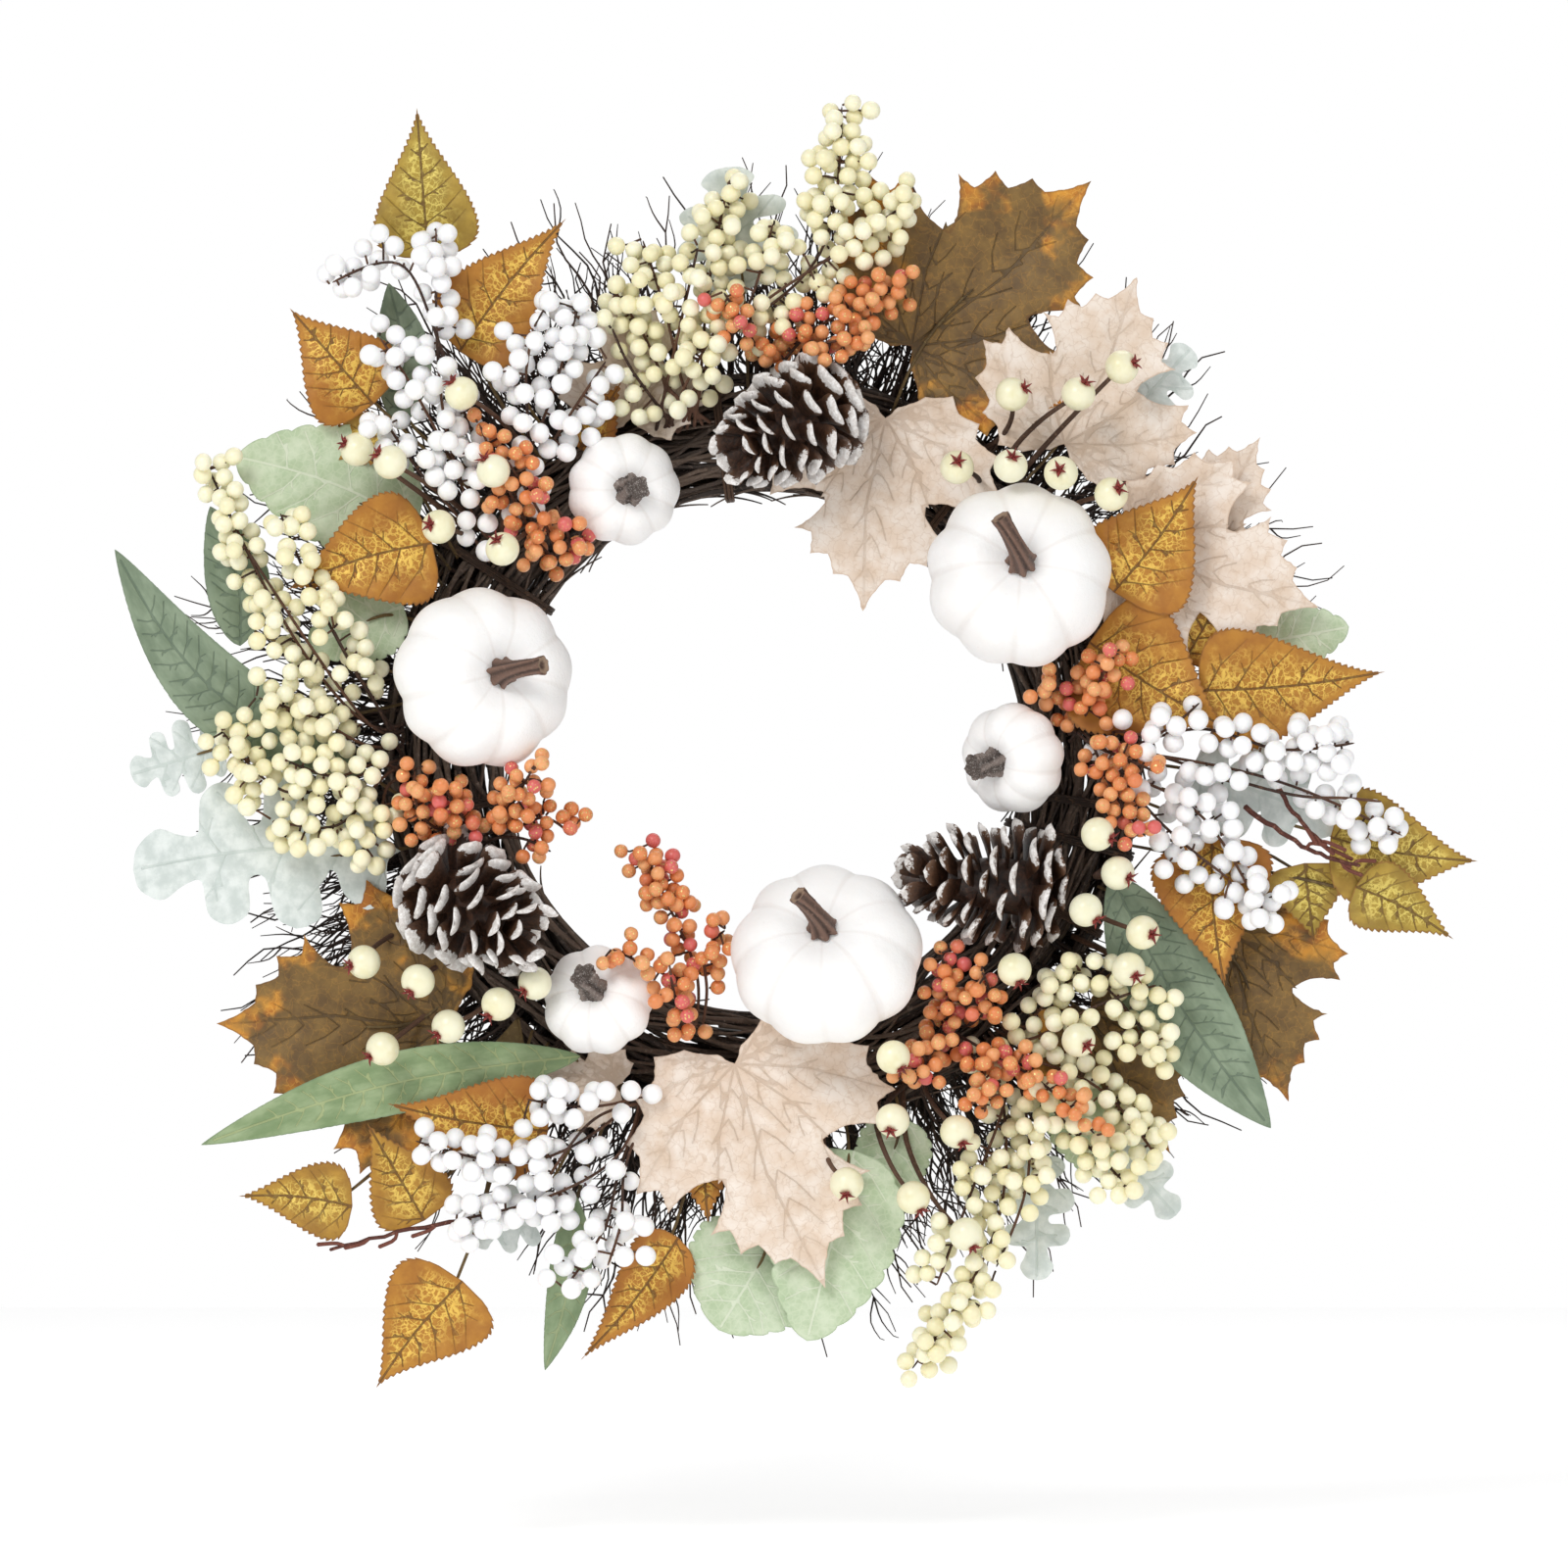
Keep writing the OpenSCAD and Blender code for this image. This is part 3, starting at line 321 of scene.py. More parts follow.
class Look:
    """A node material: each method adds a node and returns its output."""

    def __init__(self, name, roughness=0.6, **sockets):
        self.mat = bpy.data.materials.new(name)
        self.mat.use_nodes = True
        self.tree = self.mat.node_tree
        self.shader = self.tree.nodes["Principled BSDF"]
        self.shader.inputs["Roughness"].default_value = roughness
        for key, value in sockets.items():
            self.shader.inputs[key.replace("_", " ")].default_value = value
        self.place = self.tree.nodes.new("ShaderNodeTexCoord").outputs["Object"]

    def put(self, socket, value):
        if isinstance(value, bpy.types.NodeSocket):
            self.tree.links.new(value, socket)
        else:
            socket.default_value = value

    def point(self, key):
        """A point attribute of the mesh."""
        n = self.tree.nodes.new("ShaderNodeAttribute")
        n.attribute_name = key
        return n.outputs["Fac"]

    def blade(self, stretch=(1, 1, 1)):
        """The leaf's own flat coordinates, in metres, stretched."""
        n = self.tree.nodes.new("ShaderNodeUVMap")
        n.uv_map = "blade"
        m = self.tree.nodes.new("ShaderNodeMapping")
        m.inputs["Scale"].default_value = stretch
        self.tree.links.new(n.outputs["UV"], m.inputs["Vector"])
        return m.outputs["Vector"]

    def noise(self, size, detail=3, rough=0.55, where=None, distort=0.0):
        """Noise with features about size metres across."""
        n = self.tree.nodes.new("ShaderNodeTexNoise")
        n.inputs["Scale"].default_value = 1 / size
        n.inputs["Detail"].default_value = detail
        n.inputs["Roughness"].default_value = rough
        n.inputs["Distortion"].default_value = distort
        self.put(n.inputs["Vector"], where or self.place)
        return n.outputs["Fac"]

    def cells(self, size, where=None, feature="F1"):
        """Distance in a pattern of random cells about size metres across."""
        n = self.tree.nodes.new("ShaderNodeTexVoronoi")
        n.feature = feature
        n.inputs["Scale"].default_value = 1 / size
        self.put(n.inputs["Vector"], where or self.place)
        return n.outputs["Distance"]

    def math(self, kind, a, b):
        n = self.tree.nodes.new("ShaderNodeMath")
        n.operation = kind
        self.put(n.inputs[0], a)
        self.put(n.inputs[1], b)
        return n.outputs[0]

    def span(self, value, low, high, to_low=0.0, to_high=1.0):
        """value from low..high to to_low..to_high, smooth and clamped."""
        n = self.tree.nodes.new("ShaderNodeMapRange")
        n.interpolation_type = "SMOOTHSTEP"
        self.put(n.inputs["Value"], value)
        for key, number in (("From Min", low), ("From Max", high),
                            ("To Min", to_low), ("To Max", to_high)):
            self.put(n.inputs[key], number)
        return n.outputs["Result"]

    def mix(self, amount, a, b):
        n = self.tree.nodes.new("ShaderNodeMix")
        n.data_type = "RGBA"
        self.put(n.inputs[0], amount)
        self.put(n.inputs[6], a)
        self.put(n.inputs[7], b)
        return n.outputs[2]

    def shade(self, value, low, high, first, second):
        """From the first hex colour to the second as value goes from low to high."""
        return self.mix(self.span(value, low, high), rgb(first), rgb(second))

    def tint(self, colour, value, low, high, amount, other):
        """colour with up to amount of a hex colour as value goes from low to high."""
        return self.mix(self.span(value, low, high, 0.0, amount), colour, rgb(other))

    def stain(self, colour, value, amount, other):
        """colour with a hex colour in proportion to value."""
        return self.mix(self.math("MULTIPLY", value, amount), colour, rgb(other))

    def finish(self, colour, bumps=(), roughness=None, metal=None):
        """Links colour, roughness and (height, depth in metres) bumps, and returns the material."""
        self.put(self.shader.inputs["Base Color"], colour)
        if roughness is not None:
            self.put(self.shader.inputs["Roughness"], roughness)
        if metal is not None:
            self.put(self.shader.inputs["Metallic"], metal)
        normal = None
        for height, depth in bumps:
            n = self.tree.nodes.new("ShaderNodeBump")
            n.inputs["Strength"].default_value = 1.0
            n.inputs["Distance"].default_value = depth
            self.put(n.inputs["Height"], height)
            if normal is not None:
                self.tree.links.new(normal, n.inputs["Normal"])
            normal = n.outputs["Normal"]
        if normal is not None:
            self.tree.links.new(normal, self.shader.inputs["Normal"])
        return self.mat


def metal_wire(name, dark, light):
    look = Look(name, 0.5)
    wear = look.noise(6 * MM, 4, 0.7)
    colour = look.shade(wear, 0.45, 0.7, dark, light)
    return look.finish(colour, [(look.noise(0.6 * MM, 2), 0.1 * MM)],
                       look.span(wear, 0.3, 0.7, 0.38, 0.66))


def bark(name, dark, mid, light):
    """Thin woody strands: streaks along the strand and a tone for each one."""
    look = Look(name, 0.78)
    streak = look.noise(2.2 * MM, 4, 0.65, distort=0.6)
    colour = look.shade(look.point("tone"), 0.1, 0.9, dark, mid)
    colour = look.tint(colour, streak, 0.52, 0.74, 0.75, light)
    return look.finish(colour, [(streak, 0.35 * MM), (look.noise(0.7 * MM, 2), 0.12 * MM)])


def foam():
    look = Look("pumpkin_foam", 0.55, Subsurface_Weight=0.08,
                Subsurface_Radius=(0.004, 0.003, 0.0025))
    cloud = look.noise(22 * MM, 3)
    colour = look.shade(cloud, 0.35, 0.7, "FAF8F6", "FDFCFB")
    # painted shade: the foam turns darker in the rib creases and round the end dimples
    colour = look.tint(colour, look.point("painted_groove_shade"), 0.15, 1.0, 0.45, "ECE7E3")
    colour = look.tint(colour, look.noise(1.2 * MM, 2), 0.66, 0.8, 0.25, "DDD3CC")
    pits = look.cells(1.1 * MM)
    return look.finish(colour, [(look.noise(7 * MM, 3), 0.5 * MM), (pits, 0.07 * MM)],
                       look.span(cloud, 0.3, 0.7, 0.5, 0.64))


def stalk(name, dark, mid, light, glitter):
    look = Look(name, 0.6)
    grain = look.noise(1.6 * MM, 4, 0.7)
    colour = look.shade(look.point("ridge"), 0.0, 1.0, dark, mid)
    colour = look.tint(colour, grain, 0.5, 0.78, 0.8, light)
    colour = look.mix(look.point("cut"), colour, rgb("A98F78"))
    bumps = [(grain, 0.35 * MM), (look.noise(0.5 * MM, 2), 0.15 * MM)]
    if not glitter:
        return look.finish(colour, bumps, look.span(grain, 0.4, 0.7, 0.5, 0.75))
    spark = look.span(look.cells(0.75 * MM), 0.30, 0.12)
    colour = look.stain(colour, spark, 0.75, "E6E0DA")
    return look.finish(colour, bumps, look.span(spark, 0, 1, 0.75, 0.22),
                       look.math("MULTIPLY", spark, 0.6))


def pine():
    look = Look("pine_scale", 0.42)
    grain = look.noise(1.8 * MM, 4, 0.7)
    wood = look.shade(grain, 0.35, 0.7, "24160F", "4E3222")
    wood = look.tint(wood, look.point("tip"), 0.55, 1.0, 0.55, "7A573D")
    uneven = look.math("SUBTRACT", look.noise(3.2 * MM, 4, 0.7), 0.5)
    patch = look.math("ADD", look.point("frost"), look.math("MULTIPLY", uneven, 1.5))
    paint = look.span(patch, 0.48, 0.62)
    colour = look.mix(paint, wood, look.shade(grain, 0.4, 0.66, "D8D2CD", "F8F6F4"))
    colour = look.mix(look.point("umbo"), colour, rgb("33231B"))
    return look.finish(colour, [(grain, 0.4 * MM), (paint, 0.18 * MM)],
                       look.span(paint, 0, 1, 0.4, 0.72))


def berry(name, base, other, extra, roughness, glow):
    look = Look(name, roughness, Subsurface_Weight=glow, Subsurface_Radius=(0.003, 0.002, 0.0012))
    colour = look.shade(look.point("tone"), 0.05, 0.95, base, other)
    colour = look.tint(colour, look.noise(2.5 * MM, 3), 0.5, 0.75, 0.35, extra)
    return look.finish(colour, [(look.noise(2.0 * MM, 2), 0.08 * MM)])


def coral_berry():
    look = Look("orange_berry", 0.34, Subsurface_Weight=0.12,
                Subsurface_Radius=(0.003, 0.0012, 0.0006))
    tone = look.point("tone")
    rough = look.noise(1.5 * MM, 4, 0.7)
    colour = look.shade(tone, 0.0, 0.8, "EDAA72", "E38A52")
    colour = look.tint(colour, tone, 0.80, 0.90, 1.0, "DC6A66")
    colour = look.tint(colour, rough, 0.5, 0.75, 0.5, "CC7A48")
    fleck = look.span(look.cells(1.5 * MM), 0.34, 0.22)
    grit = look.math("MULTIPLY", fleck, look.span(look.point("glitter"), 0.15, 0.5))
    colour = look.mix(grit, colour, rgb("F2D78C"))
    return look.finish(colour, [(rough, 0.1 * MM), (grit, 0.12 * MM)], None,
                       look.math("MULTIPLY", grit, 0.8))


def hip_skin():
    look = Look("rosehip", 0.3, Subsurface_Weight=0.12, Subsurface_Radius=(0.004, 0.003, 0.002))
    colour = look.shade(look.noise(6 * MM, 3), 0.4, 0.7, "F3EFCE", "ECE6BD")
    colour = look.tint(colour, look.point("tone"), 0.3, 1.0, 0.5, "F4F3DC")
    colour = look.tint(colour, look.point("pole"), 0.90, 0.965, 0.5, "C9A27C")
    return look.finish(colour, [(look.noise(3 * MM, 2), 0.12 * MM)])


def calyx_skin():
    look = Look("calyx", 0.6)
    grain = look.noise(0.9 * MM, 3)
    colour = look.shade(grain, 0.35, 0.7, "5E1D1A", "A23A34")
    return look.finish(colour, [(grain, 0.2 * MM)])


def sewn_edge(look, colour, dark, width, amount=0.5):
    """colour with a darker line along the leaf's edge."""
    return look.tint(colour, look.point("edge"), width, 0.2 * MM, amount, dark)


def veins(look, soft=0.28 * MM):
    """1 on a vein, 0 away from it: vein is the distance to it and vein_half its half width."""
    far = look.math("SUBTRACT", look.point("vein"), look.point("vein_half"))
    return look.span(far, soft, 0.0)


def fading_veins(look, soft, least):
    """Veins that fade to least of their strength toward the lobes."""
    fade = look.span(look.point("reach"), 1.1, 0.2, least, 1.0)
    return look.math("MULTIPLY", veins(look, soft), fade)


def fabric(look):
    """A fine printed weave."""
    weave = look.math("MULTIPLY", look.noise(0.35 * MM, 1, where=look.blade((1, 6, 1))),
                      look.noise(0.35 * MM, 1, where=look.blade((6, 1, 1))))
    return (weave, 0.05 * MM)


def branching(look, size, width, where):
    """Fine irregular lines that fork and wander, like the veins a print gives a fabric leaf."""
    waver = look.tree.nodes.new("ShaderNodeTexNoise")
    waver.inputs["Scale"].default_value = 1.2 / size
    waver.inputs["Detail"].default_value = 3
    look.put(waver.inputs["Vector"], where)
    push = look.tree.nodes.new("ShaderNodeVectorMath")
    push.operation = "MULTIPLY_ADD"
    push.inputs[1].default_value = (1.3 * size, 1.3 * size, 0)
    look.put(push.inputs[0], waver.outputs["Color"])
    look.put(push.inputs[2], where)
    cells = look.cells(size, push.outputs["Vector"], "DISTANCE_TO_EDGE")
    return look.span(cells, width, 0.3 * width)


def gold_leaf(name="gold_leaf", back=False):
    """A gold leaf with a bright lace near its midrib, or the plain back of one."""
    look = Look(name, 0.5)
    tone, edge, mid = look.point("tone"), look.point("edge"), look.point("mid")
    olive = look.span(tone, 0.55, 1.0)
    cloud = look.noise(11 * MM, 3, where=look.blade())
    colour = look.shade(cloud, 0.35, 0.68, "A2691A", "BB8226")
    colour = look.tint(colour, tone, 0.5, 0.0, 0.8, "A8621C")
    colour = look.mix(olive, colour, look.shade(cloud, 0.35, 0.68, "92792A", "AE9236"))
    if back:
        colour = look.mix(0.45, colour, rgb("B98A3A"))
        return look.finish(colour, [fabric(look)], 0.7)
    uneven = look.math("MULTIPLY", look.noise(8 * MM, 3, where=look.blade()), 1.2)
    near = look.span(look.math("ADD", mid, uneven), 1.35, 0.65)
    wide = branching(look, 4.4 * MM, 0.085, look.blade((0.8, 1, 1)))
    fine = branching(look, 2.4 * MM, 0.09, look.blade((1, 0.8, 1)))
    lace = look.math("MAXIMUM", wide, look.math("MULTIPLY", fine, 0.8))
    shine = look.math("MULTIPLY", look.math("MULTIPLY", lace, near),
                      look.span(edge, 1.5 * MM, 5 * MM))
    glow = look.mix(olive, rgb("CB9430"), rgb("B9A63F"))
    sheen = look.mix(olive, rgb("F6CE60"), rgb("E8D672"))
    colour = look.mix(look.math("MULTIPLY", near, 0.3), colour, glow)
    colour = look.mix(look.math("MULTIPLY", shine, 0.85), colour, sheen)
    rib = look.math("MULTIPLY", veins(look, 0.22 * MM), look.span(mid, 0.95, 0.1, 0.15, 1.0))
    colour = look.stain(colour, rib, 0.8, "5E3C12")
    colour = sewn_edge(look, colour, "84531A", 0.8 * MM, 0.7)
    return look.finish(colour, [fabric(look), (shine, 0.12 * MM), (rib, -0.25 * MM)],
                       look.span(shine, 0, 1, 0.55, 0.36), look.math("MULTIPLY", shine, 0.25))


def brown_leaf():
    look = Look("brown_leaf", 0.55)
    cloud = look.noise(14 * MM, 4, 0.6, look.blade())
    colour = look.shade(cloud, 0.3, 0.7, "5E4520", "84652F")
    patchy = look.math("SUBTRACT", look.noise(26 * MM, 3, 0.6, look.blade()), 0.5)
    outer = look.math("ADD", look.point("reach"), look.math("MULTIPLY", patchy, 2.8))
    glow = look.span(outer, 0.62, 1.05)
    colour = look.mix(glow, colour, look.shade(cloud, 0.4, 0.6, "B06A1A", "D4922C"))
    lace = branching(look, 4.5 * MM, 0.06, look.blade())
    faint = look.math("MULTIPLY", lace, look.span(glow, 0, 1, 0.12, 0.6))
    colour = look.mix(faint, colour, rgb("DBA040"))
    rib = fading_veins(look, 0.35 * MM, 0.2)
    colour = look.stain(colour, rib, 0.6, "3A2A12")
    colour = sewn_edge(look, colour, "6B4216", 1.0 * MM)
    return look.finish(colour, [fabric(look), (lace, 0.05 * MM), (rib, -0.3 * MM)])


def beige_leaf():
    look = Look("beige_leaf", 0.7)
    cloud = look.noise(16 * MM, 4, 0.6, look.blade())
    colour = look.shade(cloud, 0.34, 0.68, "E2CDB9", "F2E7DC")
    colour = look.tint(colour, look.noise(5 * MM, 5, 0.7, look.blade()), 0.5, 0.72, 0.5, "D6BBA0")
    colour = look.stain(colour, branching(look, 5 * MM, 0.05, look.blade()), 0.3, "C2A68C")
    rib = fading_veins(look, 0.4 * MM, 0.3)
    colour = look.stain(colour, rib, 0.42, "A98E75")
    colour = look.tint(colour, look.point("vein"), 4 * MM, 0.3 * MM, 0.2, "C4A98F")
    colour = sewn_edge(look, colour, "C0A288", 0.7 * MM)
    return look.finish(colour, [fabric(look), (rib, -0.2 * MM)])


def green_leaf():
    look = Look("green_leaf", 0.5)
    fresh = look.span(look.point("tone"), 0.6, 0.9)
    cloud = look.noise(10 * MM, 4, 0.6, look.blade((1, 0.4, 1)))
    colour = look.mix(fresh, look.shade(cloud, 0.34, 0.68, "708169", "8D9D84"),
                      look.shade(cloud, 0.34, 0.68, "7B9460", "A0B383"))
    rib = veins(look, 0.2 * MM)
    ink = look.mix(fresh, rgb("536555"), rgb("C2CA8C"))
    colour = look.mix(look.math("MULTIPLY", rib, 0.55), colour, ink)
    colour = sewn_edge(look, colour, "5F7259", 0.7 * MM, 0.45)
    return look.finish(colour, [fabric(look), (rib, -0.2 * MM)])


def pale_leaf():
    look = Look("pale_leaf", 0.55)
    cloud = look.noise(11 * MM, 4, 0.6, look.blade())
    colour = look.shade(cloud, 0.34, 0.68, "B2C6A0", "CEDBBE")
    lace = look.span(look.cells(3.0 * MM, look.blade(), "DISTANCE_TO_EDGE"), 0.12, 0.04)
    colour = look.stain(colour, lace, 0.25, "DCE4CC")
    rib = veins(look)
    colour = look.stain(colour, rib, 0.75, "DDE5CE")
    colour = sewn_edge(look, colour, "93A983", 0.7 * MM)
    return look.finish(colour, [fabric(look), (rib, 0.15 * MM)])


def frosted_leaf():
    look = Look("frosted_leaf", 0.6, Subsurface_Weight=0.15,
                Subsurface_Radius=(0.003, 0.003, 0.003))
    cloud = look.noise(9 * MM, 4, 0.6, look.blade())
    colour = look.shade(cloud, 0.34, 0.68, "C8D1CD", "E4EAE7")
    rib = veins(look, 0.5 * MM)
    colour = look.stain(colour, rib, 0.5, "BCC8C2")
    velvet = look.noise(0.8 * MM, 2, where=look.blade())
    return look.finish(colour, [(velvet, 0.1 * MM), (rib, 0.2 * MM)])


MAT = {
    "frame": metal_wire("frame_wire", "2B2622", "4A423B"),
    "vine": bark("vine", "2C221C", "5E4E42", "87766A"),
    "raffia": bark("raffia", "2B1E16", "4A3424", "6B4E38"),
    "twig": bark("twig", "1F1612", "3A2A23", "54423A"),
    "foam": foam(),
    "stalk": stalk("pumpkin_stem", "3E2A20", "77594A", "94786A", False),
    "stub": stalk("pumpkin_stub", "3A302B", "7E716A", "A59A93", True),
    "pick": bark("pick_wood", "9C7B54", "C8A878", "DCC29A"),
    "pine": pine(),
    "leaf_wire": bark("leaf_wire", "4A3A22", "6F5A36", "8A7549"),
    "berry_stem": bark("berry_stem", "38241B", "5E3E2C", "7E5C48"),
    "bare": bark("bare_twig", "4A231B", "7A4334", "9A6652"),
    "hip_wire": bark("hip_wire", "3A281D", "614534", "7C5E4A"),
    "white": berry("white_berry", "FAFAFB", "FEFEFE", "F1F1F4", 0.42, 0.12),
    "cream": berry("cream_berry", "F4EDC4", "FAF6DA", "EBE0AE", 0.34, 0.14),
    "orange": coral_berry(),
    "hip": hip_skin(),
    "calyx": calyx_skin(),
    "gold": gold_leaf(),
    "gold_back": gold_leaf("gold_leaf_back", True),
    "brown": brown_leaf(),
    "beige": beige_leaf(),
    "green": green_leaf(),
    "pale": pale_leaf(),
    "frost": frosted_leaf(),
}


# ---------------------------------------------------------------- leaves
class Blade:
    """One CAD leaf blade: its base, its axes (across, along, normal), its length and its width."""

    def __init__(self, points, tris):
        middle = area_centroid(points, tris)
        rel = points - points.mean(axis=0)
        _, axes = np.linalg.eigh(rel.T @ rel)
        normal = axes[:, 0] if axes[:, 0].dot(FRONT) > 0 else -axes[:, 0]
        along = min((axes[:, 1], axes[:, 2]), key=lambda v: self.lopsided(points, v, np.cross(v, normal)))
        side = (points - middle) @ np.cross(along, normal)
        height = (points - middle) @ along
        on_axis = height[np.abs(side) < 0.3 * MM]
        if -on_axis.min() > on_axis.max():
            along, height, on_axis = -along, -height, -on_axis
        self.along, self.normal = along, normal
        self.across = np.cross(along, normal)
        self.length = on_axis.max() - on_axis.min()
        self.width = side.max() - side.min()
        self.base = middle + along * on_axis.min()

    @staticmethod
    def lopsided(points, along, side):
        """How far the outline is from being its own mirror image about this axis."""
        flat = np.stack([points @ side, points @ along], axis=1)
        flat -= flat.mean(axis=0)
        mirror = flat * [-1, 1]
        gaps = np.linalg.norm(flat[:, None] - mirror[None], axis=2)
        return gaps.min(axis=1).sum()

    def place(self, flat, height):
        return (self.base + flat[:, :1] * self.across + flat[:, 1:] * self.along
                + height[:, None] * self.normal)


def toothed_side(half_width, length, pitch, depth, rng):
    """The right edge of a toothed leaf, base to tip: each tooth rises slowly and drops at its point."""
    teeth = max(8, round(length / pitch))
    side = []
    for i in range(teeth):
        size = depth * rng.uniform(0.7, 1.2)
        for step, out in ((0.0, -0.5), (0.45, 0.1), (0.88, 0.5)):
            t = (i + step) / teeth
            side.append((half_width(t) + out * size * min(1.0, 12 * t, 8 * (1 - t)), t * length))
    return side


def ovate(t):
    """A birch leaf: a broad blunt base and a long drawn-out tip."""
    return math.sin(math.pi / 2 * (t / 0.2) ** 0.5) if t < 0.2 \
        else math.cos(math.pi / 2 * ((t - 0.2) / 0.8) ** 0.86) ** 1.45


def lanceolate(t):
    return math.sin(math.pi * min(1, max(0, t)) ** 0.85) ** 0.83


def rounded(t):
    return math.sin(math.pi * min(1, max(0, t)) ** 0.70) ** 0.6


def crenate_side(half_width, length, lobes):
    side = []
    for i in range(lobes * 6):
        t = i / (lobes * 6)
        bump = abs(math.sin(math.pi * t * lobes)) ** 0.6 - 0.6
        side.append((half_width(t) * (1 + 0.05 * bump) + 0.9 * MM * bump * min(1, 8 * t), t * length))
    return side


# Outline corners of the right half: across in half widths, along in lengths
MAPLE = [(0.0, 0.0), (0.09, -0.06), (0.30, -0.13), (0.52, -0.15), (0.58, -0.06), (0.76, -0.02),
         (0.74, 0.06), (0.94, 0.14), (0.88, 0.21), (1.0, 0.35), (0.84, 0.37), (0.84, 0.47),
         (0.58, 0.41), (0.37, 0.43), (0.46, 0.53), (0.62, 0.62), (0.48, 0.63), (0.47, 0.74),
         (0.33, 0.73), (0.27, 0.83), (0.15, 0.83), (0.0, 1.0)]
MAPLE_VEINS = [(0.46, -0.12), (0.66, 0.01), (0.93, 0.32), (0.52, 0.56), (0.0, 0.95)]
LOBED = [(0.0, 0.0), (0.14, 0.05), (0.58, 0.07), (0.76, 0.14), (0.58, 0.22), (0.30, 0.25),
         (0.34, 0.31), (0.84, 0.31), (1.0, 0.40), (0.84, 0.48), (0.36, 0.51), (0.36, 0.57),
         (0.76, 0.58), (0.88, 0.66), (0.72, 0.73), (0.30, 0.75), (0.32, 0.82), (0.44, 0.90),
         (0.26, 0.98), (0.0, 1.0)]


def maple_side(width, length, rng):
    """Corners joined by slightly bowed edges with small teeth."""
    side = []
    for (ax, ay), (bx, by) in zip(MAPLE[:-1], MAPLE[1:]):
        a = np.array([ax * width / 2, ay * length])
        b = np.array([bx * width / 2, by * length])
        gap = np.linalg.norm(b - a)
        out = np.array([b[1] - a[1], a[0] - b[0]]) / gap
        steps = max(2, round(gap / (2.0 * MM)))
        for i in range(steps):
            t = i / steps
            tooth = (0.4 * MM * rng.uniform(0.2, 1.2)) * (1 if i % 4 == 3 else -0.2) if i else 0
            side.append(tuple(a + (b - a) * t - out * (0.05 * gap * math.sin(math.pi * t) - tooth)))
    return side[1:]


def lobed_side(width, length):
    corners = np.array([(x * width / 2, y * length, 0.0) for x, y in LOBED])
    return [tuple(p[:2]) for p in spline(corners, 90)][1:-1]


def pinnate(half_width, width, length, pairs, rise, rng):
    """Midrib and side veins as (points, half width at the start)."""
    lines = [(np.array([[0, 0], [0, 0.5 * length], [0, 0.965 * length]]), 0.36 * MM)]
    for i in range(pairs):
        for side in (-1, 1):
            t = 0.03 + 0.80 * (i + (0.3 if side > 0 else 0.0) + rng.uniform(-0.12, 0.12)) / pairs
            t = max(0.02, t)
            reach = rng.uniform(0.74, 0.9) * half_width(min(0.97, t + rise * 0.7)) * width / 2
            start = np.array([0, t * length])
            end = start + [side * reach, reach * (0.6 + 1.2 * rise) * rng.uniform(0.85, 1.2)]
            bow = np.array([side * 0.5 * reach, (end[1] - start[1]) * rng.uniform(0.3, 0.42)])
            lines.append((np.array([start, start + bow, end]), 0.17 * MM))
            if reach > 7 * MM:
                for part in (0.32, 0.62):
                    knee = start + (bow if part > 0.5 else bow * 0.6)
                    way = np.array([side * rng.uniform(0.16, 0.26), rng.uniform(-0.10, 0.06)]) * reach
                    lines.append((np.array([knee, knee + way]), 0.10 * MM))
    return lines


def palmate(width, length, rng):
    """Main veins from the base to the lobes, each with side veins."""
    lines = []
    for side in (-1, 1):
        for x, y in MAPLE_VEINS:
            if x == 0 and side < 0:
                continue
            tip = np.array([side * x * width / 2, y * length])
            mid = tip * 0.5 + np.array([-tip[1], tip[0]]) * 0.05 * -side
            lines.append((np.array([[0.0, 0.0], mid, tip]), 0.26 * MM if x else 0.32 * MM))
            count = 4 if x else 5
            for k in range(1, count + 1):
                root = tip * ((k + rng.uniform(-0.2, 0.2)) / (count + 1.3))
                way = unit(tip)
                for turn in (-1, 1):
                    angle = turn * rng.uniform(0.5, 0.85)
                    spoke = np.array([way[0] * math.cos(angle) - way[1] * math.sin(angle),
                                      way[0] * math.sin(angle) + way[1] * math.cos(angle)])
                    size = np.linalg.norm(tip) * rng.uniform(0.14, 0.26) * (1 - 0.5 * k / (count + 1))
                    knee = root + spoke * size * 0.5
                    lines.append((np.array([root, knee, knee + (spoke + way * 0.5) * size * 0.4]), 0.10 * MM))
    return lines


def gaps_to(points, starts, ends):
    """Distance from each flat point to the nearest of the segments, and which one that is."""
    best = np.full(len(points), 1e9)
    which = np.zeros(len(points), dtype=int)
    for i, (a, b) in enumerate(zip(starts, ends)):
        ab = b - a
        t = np.clip(((points - a) @ ab) / max(ab @ ab, 1e-12), 0, 1)
        gap = np.linalg.norm(points - a - t[:, None] * ab, axis=1)
        nearer = gap < best
        best[nearer] = gap[nearer]
        which[nearer] = i
    return best, which


blades = []


